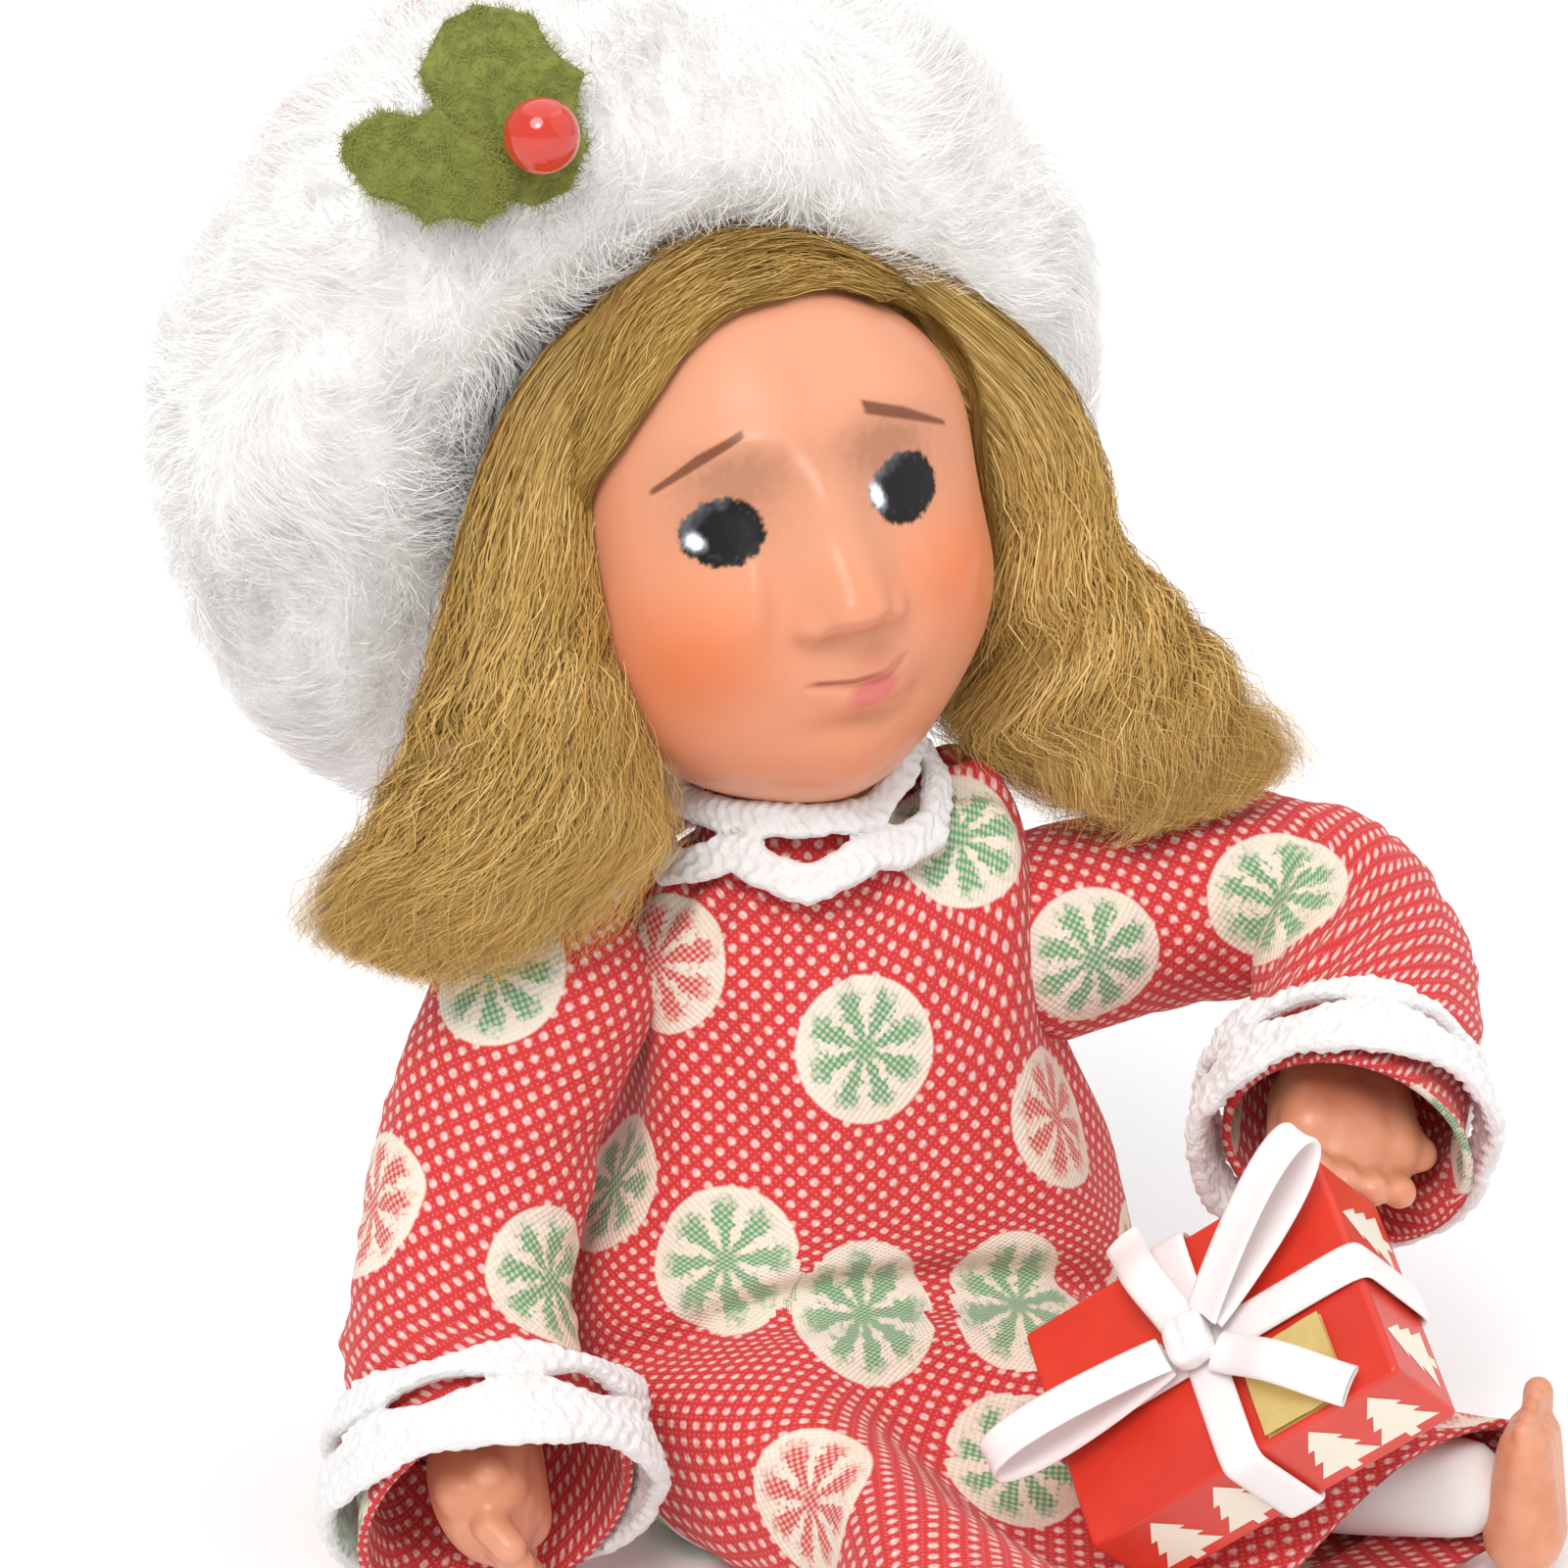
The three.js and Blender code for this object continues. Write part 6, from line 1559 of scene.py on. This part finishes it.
def add_holly():
    add_leaf("holly_felt_large", "holly_leaf_large", LARGE_LEAF, CLEARANCE, 91)
    add_leaf("holly_felt_small", "holly_leaf_small", SMALL_LEAF, CLEARANCE * 2 + LEAF_THICKNESS, 92)
    lift = BRIM_ROLL_RADIUS + BERRY_RADIUS + CLEARANCE * 2 + LEAF_THICKNESS
    centre = brim_local(*(np.radians(np.array(angle)) for angle in BERRY_PLACE), lift)
    points, faces = ball_mesh(centre, (BERRY_RADIUS,) * 3)
    berry = make_piece("holly_bead", from_hat(points), faces, BEAD, "head_and_hat")
    dress("holly_berry")


def clay_form(name, body, node, meshes, smoothing):
    """Rounded lumps of clay worked into one form."""
    starts = np.cumsum([0] + [len(points) for points, _ in meshes])
    points = np.concatenate([points for points, _ in meshes])
    faces = np.concatenate([faces + start for (_, faces), start in zip(meshes, starts)])
    form = make_piece(name, points, faces, CLAY_HAND, body)
    remesh = form.modifiers.new("work", "REMESH")
    remesh.mode = "VOXEL"
    remesh.voxel_size = CLAY_GRAIN * MM
    soften = form.modifiers.new("soften", "SMOOTH")
    soften.factor = 0.5
    soften.iterations = smoothing
    shaped = form.evaluated_get(bpy.context.evaluated_depsgraph_get())
    mesh = bpy.data.meshes.new_from_object(shaped)
    form.modifiers.clear()
    form.data = mesh
    mesh.polygons.foreach_set("use_smooth", np.full(len(mesh.polygons), True))
    dress(node)


def add_hand(side):
    """A wrist, a rounded palm, four fingers side by side and a thumb."""
    arm = ARMS[side]
    ahead = cuff_direction(side)
    first, second = side_frames(ahead[None])
    turn = math.radians(arm.palm_turn)
    wide = first[0] * math.cos(turn) + second[0] * math.sin(turn)
    flat = np.cross(ahead, wide)
    start = arm.cuff - ahead * (HAND_SETBACK - CLEARANCE)

    def at(along, sideways, up):
        return start + ahead * along + wide * sideways + flat * up

    palm = HAND_LENGTH * 0.62
    meshes = [closed_tube([at(2.4, 0, 0), at(palm * 0.45, 0, 0)], [3.0, 3.1], 32)]
    back, back_faces = ball_mesh(np.zeros(3), (HAND_LENGTH * 0.42, PALM_WIDTH * 0.64, PALM_DEPTH * 0.74))
    back = start + ahead * (back[:, :1] + palm * 0.62) + wide * back[:, 1:2] + flat * (back[:, 2:] + 0.6)
    meshes.append((back, back_faces))
    for n in (-1.5, -0.5, 0.5, 1.5):
        sideways = n * PALM_WIDTH / 4
        for layer in (-1.0, 1.4):
            knuckles = [at(palm * 0.3, sideways * 0.8, layer), at(palm * 0.85, sideways, layer)]
            meshes.append(closed_tube(knuckles, [PALM_DEPTH * 0.46, PALM_DEPTH * 0.44], 28))
        length = HAND_LENGTH - FINGER_RADIUS - 0.6 * abs(n)
        middle = at((palm + length) / 2, sideways * 1.02, -0.2)
        path = [at(palm * 0.8, sideways, 0), middle, at(length, sideways, -1.5)]
        meshes.append(closed_tube(path, [FINGER_RADIUS, FINGER_RADIUS, FINGER_RADIUS * 0.9], 24))
    outer = arm.thumb_side * PALM_WIDTH
    thumb = [at(palm * 0.35, outer * 0.3, 0.4), at(palm * 0.85, outer * 0.62, -1.2)]
    meshes.append(closed_tube(thumb, [FINGER_RADIUS * 1.2, FINGER_RADIUS], 24))
    clay_form("hand_clay_" + side, side + "_arm", "hand_" + side, meshes, 14)


def add_foot(side):
    """An upright foot on its heel: three rolls of clay side by side and five toes."""
    hip, turn = LEGS[side]
    ahead = leg_direction(turn)
    across = np.cross(UP, ahead) * (1 if side == "right" else -1)
    middle = hip + ahead * (LEG_LENGTH - 1 + CLEARANCE + FOOT_DEPTH * 0.5)

    def at(sideways, height):
        return np.array([middle[0], middle[1], FOOT_FLOOR_GAP + height]) + across * sideways

    heel = FOOT_DEPTH * 0.48
    ball = FOOT_HEIGHT * 0.68
    meshes = []
    for n in (-1, 0, 1):
        wide = n * FOOT_WIDTH
        path = [at(wide * 0.1, heel), at(wide * 0.17, (heel + ball) / 2), at(wide * 0.22, ball)]
        meshes.append(closed_tube(path, [FOOT_DEPTH * 0.46, FOOT_DEPTH * 0.39, FOOT_DEPTH * 0.32], 32))
    for n in range(5):
        sideways = (n - 2) * FOOT_WIDTH * 0.19
        size = 0.9 if n else 1.3
        toe = [at(sideways, ball), at(sideways, FOOT_HEIGHT - 0.8 - size - 0.4 * n)]
        meshes.append(closed_tube(toe, [size, size], 20))
    clay_form("foot_clay_" + side, "trunk", "foot_" + side, meshes, 6)


def gift_frame():
    along = unit(GIFT_ALONG)
    out = unit(np.cross(GIFT_ACROSS, along))
    return np.stack([along, np.cross(out, along), out])


GIFT_FRAME = gift_frame()


def from_gift(points):
    return np.asarray(points, dtype=float) @ GIFT_FRAME + GIFT_KNOT


def add_gift_box():
    half = GIFT_SIZE / 2
    corners = np.array([(x, y, z) for x in (-1, 1) for y in (-1, 1) for z in (-1, 1)]) * half
    corners[:, 2] -= half[2]
    faces = np.array([(0, 1, 3, 2), (4, 6, 7, 5), (0, 4, 5, 1), (2, 3, 7, 6), (0, 2, 6, 4), (1, 5, 7, 3)])
    box = make_piece("gift_carton", from_gift(corners), faces, CARTON, "left_arm", smooth=False)
    bevel = box.modifiers.new("rounding", "BEVEL")
    bevel.width = GIFT_BEVEL * MM
    bevel.segments = 3
    dress("gift_box")


def fir_outline():
    """One fir: a trunk below three tiers of boughs, in shares of its height."""
    right = [(0.06, 0.0), (0.06, 0.12), (0.34, 0.12), (0.18, 0.40)]
    right += [(0.27, 0.40), (0.13, 0.66), (0.2, 0.66), (0.0, 1.0)]
    left = [(-x, y) for x, y in reversed(right[:-1])]
    return np.array(right + left)


def add_firs():
    """Fir trees printed on the carton's sides."""
    outline = fir_outline() * TREE_HEIGHT
    half = GIFT_SIZE / 2
    foot = TREE_FOOT - GIFT_SIZE[2]
    places = []
    for x in LONG_SIDE_FIRS:
        for side in (1, -1):
            places.append(((x, side * (half[1] + TREE_LIFT), foot), (1, 0, 0)))
    for y in SHORT_SIDE_FIRS:
        for side in (-1, 1):
            places.append(((side * (half[0] + TREE_LIFT), y, foot), (0, 1, 0)))
    points = []
    faces = []
    for origin, sideways in places:
        base = len(points)
        last = base + len(outline) - 1
        points.extend(np.array(origin) + np.outer(outline[:, 0], sideways) + np.outer(outline[:, 1], UP))
        for i in range(len(outline) // 2):
            faces.append((base + i, base + i + 1, last - i - 1, last - i))
    firs = make_piece("carton_firs", from_gift(points), faces, CARTON_PRINT, "left_arm", smooth=False)
    dress()


def ribbon_strip(name, path, across, node, cup=0.25):
    """A satin strip along a path, gently cupped across its width."""
    across = np.broadcast_to(np.asarray(across, dtype=float), path.shape)
    rise = unit(np.cross(unit(np.gradient(path, axis=0)), across))
    v = np.linspace(-1, 1, RIBBON_COLUMNS)
    bend = cup * (v ** 2)
    thick = RIBBON_THICKNESS / 2 * np.sqrt(np.clip(1 - v ** 8, 0.02, 1))
    middle = path[:, None] + across[:, None] * (RIBBON_WIDTH / 2 * v)[None, :, None]
    upper = middle + rise[:, None] * (thick - bend)[None, :, None]
    lower = middle - rise[:, None] * (thick + bend)[None, :, None]
    ring = np.concatenate([upper, lower[:, ::-1]], axis=1)
    faces = grid_faces(len(path), 2 * RIBBON_COLUMNS, wrap=True)
    strip = make_piece(name, from_gift(ring), faces, RIBBON, "left_arm")
    dress(node)


def rounded_loop(width, depth):
    """Points round a rectangle with rounded corners, starting in the middle of one long side."""
    angles = np.linspace(0, math.tau, STRAP_POINTS)
    x = np.sin(angles)
    z = np.cos(angles)
    scale = (np.abs(x) ** 14 + np.abs(z) ** 14) ** (-1 / 14)
    return width / 2 * x * scale, depth / 2 * z * scale


def compass(heading):
    angle = math.radians(heading)
    return np.array([math.cos(angle), math.sin(angle), 0.0])


def add_ribbons():
    """The two straps round the box and the loops and tails of its bow."""
    middle = -GIFT_SIZE[2] / 2
    run, rise = rounded_loop(GIFT_SIZE[0] + BOW_BASE, GIFT_SIZE[2] + BOW_BASE)
    path = np.stack([run, 0 * run, rise + middle], axis=-1)
    ribbon_strip("gift_strap_long", path, (0, 1, 0), "gift_ribbon", STRAP_CUP)
    run, rise = rounded_loop(GIFT_SIZE[1] + BOW_BASE, GIFT_SIZE[2] + BOW_BASE)
    path = np.stack([0 * run, run, rise + middle + STRAP_LIFT], axis=-1)
    ribbon_strip("gift_strap_cross", path, (-1, 0, 0), None, STRAP_CUP)
    for name, heading in BOW_LOOP_HEADINGS.items():
        run = compass(heading)
        angle = math.pi * (0.06 + 1.88 * np.linspace(0, 1, 70))
        reach = KNOT_HALF + CLEARANCE + BOW_LOOP_LENGTH / 2 * (1 - np.cos(angle))
        rise = -BOW_LOOP_HEIGHT / 2 * np.sin(angle) * (0.35 + 0.65 * (1 - np.cos(angle)) / 2)
        path = run * reach[:, None]
        path[:, 2] = BOW_BASE + KNOT_HEIGHT / 2 + BOW_LOOP_TILT * (reach - KNOT_HALF) + rise
        ribbon_strip(name + "_satin", path, (-run[1], run[0], 0), name)
    for name, (heading, length) in BOW_TAILS.items():
        run = compass(heading)
        share = np.linspace(0, 1, 40)
        path = run * (KNOT_HALF + CLEARANCE + length * share)[:, None]
        path[:, 2] = BOW_BASE + 0.6 + 1.6 * np.sin(share * math.pi) ** 2
        ribbon_strip(name + "_satin", path, (-run[1], run[0], 0), name)


def add_knot():
    points, faces = ball_mesh(np.zeros(3), (1.0, 1.0, 1.0), KNOT_COLUMNS, KNOT_ROWS)
    size = np.array([KNOT_HALF, KNOT_HALF * 1.15, KNOT_HEIGHT / 2])
    points = np.sign(points) * np.abs(points) ** KNOT_SQUARENESS * size
    points[:KNOT_COLUMNS, :2] = 0
    points[-KNOT_COLUMNS:, :2] = 0
    points[:, 2] += 0.1 * np.sin(points[:, 0] * 4.5) + BOW_BASE + KNOT_HEIGHT / 2
    knot = make_piece("bow_knot_satin", from_gift(points), faces, RIBBON, "left_arm")
    dress("bow_knot")


def add_foil():
    """A crinkled square of foil on the lid."""
    u, v = np.meshgrid(np.linspace(-0.5, 0.5, FOIL_POINTS), np.linspace(-0.5, 0.5, FOIL_POINTS))
    x = RIBBON_WIDTH / 2 + 1 + FOIL_SIZE / 2 + FOIL_SIZE * u
    y = -RIBBON_WIDTH / 2 - 0.8 - FOIL_SIZE / 2 + FOIL_SIZE * v
    flat = np.stack([x, y, 0 * x], axis=-1)
    z = CLEARANCE + FOIL_THICKNESS / 2 + 0.16 * lumps(flat, 1.8, 95) + 0.05
    top = np.stack([x, y, z], axis=-1)
    under = np.stack([x, y, 0 * z + 0.05], axis=-1)
    points, faces = slab(top, under)
    foil = make_piece("gift_foil_sheet", from_gift(points), faces, FOIL, "left_arm")
    dress("gift_foil")


def aim(thing, direction):
    thing.rotation_euler = direction.to_track_quat("-Z", "Y").to_euler()


def add_camera():
    azimuth = math.radians(VIEW_AZIMUTH)
    elevation = math.radians(VIEW_ELEVATION)
    level = math.cos(elevation)
    away = Vector((math.sin(azimuth) * level, -math.cos(azimuth) * level, math.sin(elevation)))
    lens = bpy.data.cameras.new("camera")
    lens.lens = LENS
    lens.sensor_width = SENSOR
    lens.shift_x = SHIFT_X
    lens.shift_y = SHIFT_Y
    lens.clip_start = 0.01
    camera = add_object("camera", lens)
    camera.location = Vector(VIEW_TARGET * MM) + away * VIEW_DISTANCE * MM
    aim(camera, -away)
    bpy.context.scene.camera = camera


def add_lights():
    """Three wide suns, one window and a white sky."""
    for name, (place, width, strength) in SUNS.items():
        light = bpy.data.lights.new(name, "SUN")
        light.angle = math.radians(width)
        light.energy = strength
        aim(add_object(name, light), -Vector(place))
    window = bpy.data.lights.new("window", "AREA")
    window.size = WINDOW_SIZE
    window.energy = WINDOW_POWER
    lamp = add_object("window", window)
    lamp.location = WINDOW_PLACE
    aim(lamp, Vector(WINDOW_AIM) - lamp.location)
    world = bpy.data.worlds.new("studio")
    world.use_nodes = True
    background = world.node_tree.nodes["Background"]
    background.inputs["Color"].default_value = (1, 1, 1, 1)
    background.inputs["Strength"].default_value = SKY_STRENGTH
    bpy.context.scene.world = world
    bpy.context.scene.view_settings.view_transform = "Standard"


def add_floor():
    corners = [(x * FLOOR_HALF, y * FLOOR_HALF, 0) for x, y in ((-1, -1), (1, -1), (1, 1), (-1, 1))]
    mesh = bpy.data.meshes.new("floor")
    mesh.from_pydata(corners, [], [(0, 1, 2, 3)])
    mesh.materials.append(FLOOR)
    floor = add_object("floor", mesh)
    floor.location.z = -FLOOR_DROP


for node in ("body_wire", "arm_wire_right", "arm_wire_left"):
    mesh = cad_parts[node].data
    mesh.materials.clear()
    mesh.materials.append(WIRE)

add_gown()
add_padding()
for side in ARMS:
    add_sleeve(side)
add_laces()
add_head()
add_cap_hair()
for side in LOCKS:
    add_lock(side)
add_fur()
add_crown()
add_holly()
for side in ARMS:
    add_hand(side)
for side in LEGS:
    add_foot(side)
add_gift_box()
add_firs()
add_ribbons()
add_knot()
add_foil()
add_camera()
add_lights()
add_floor()
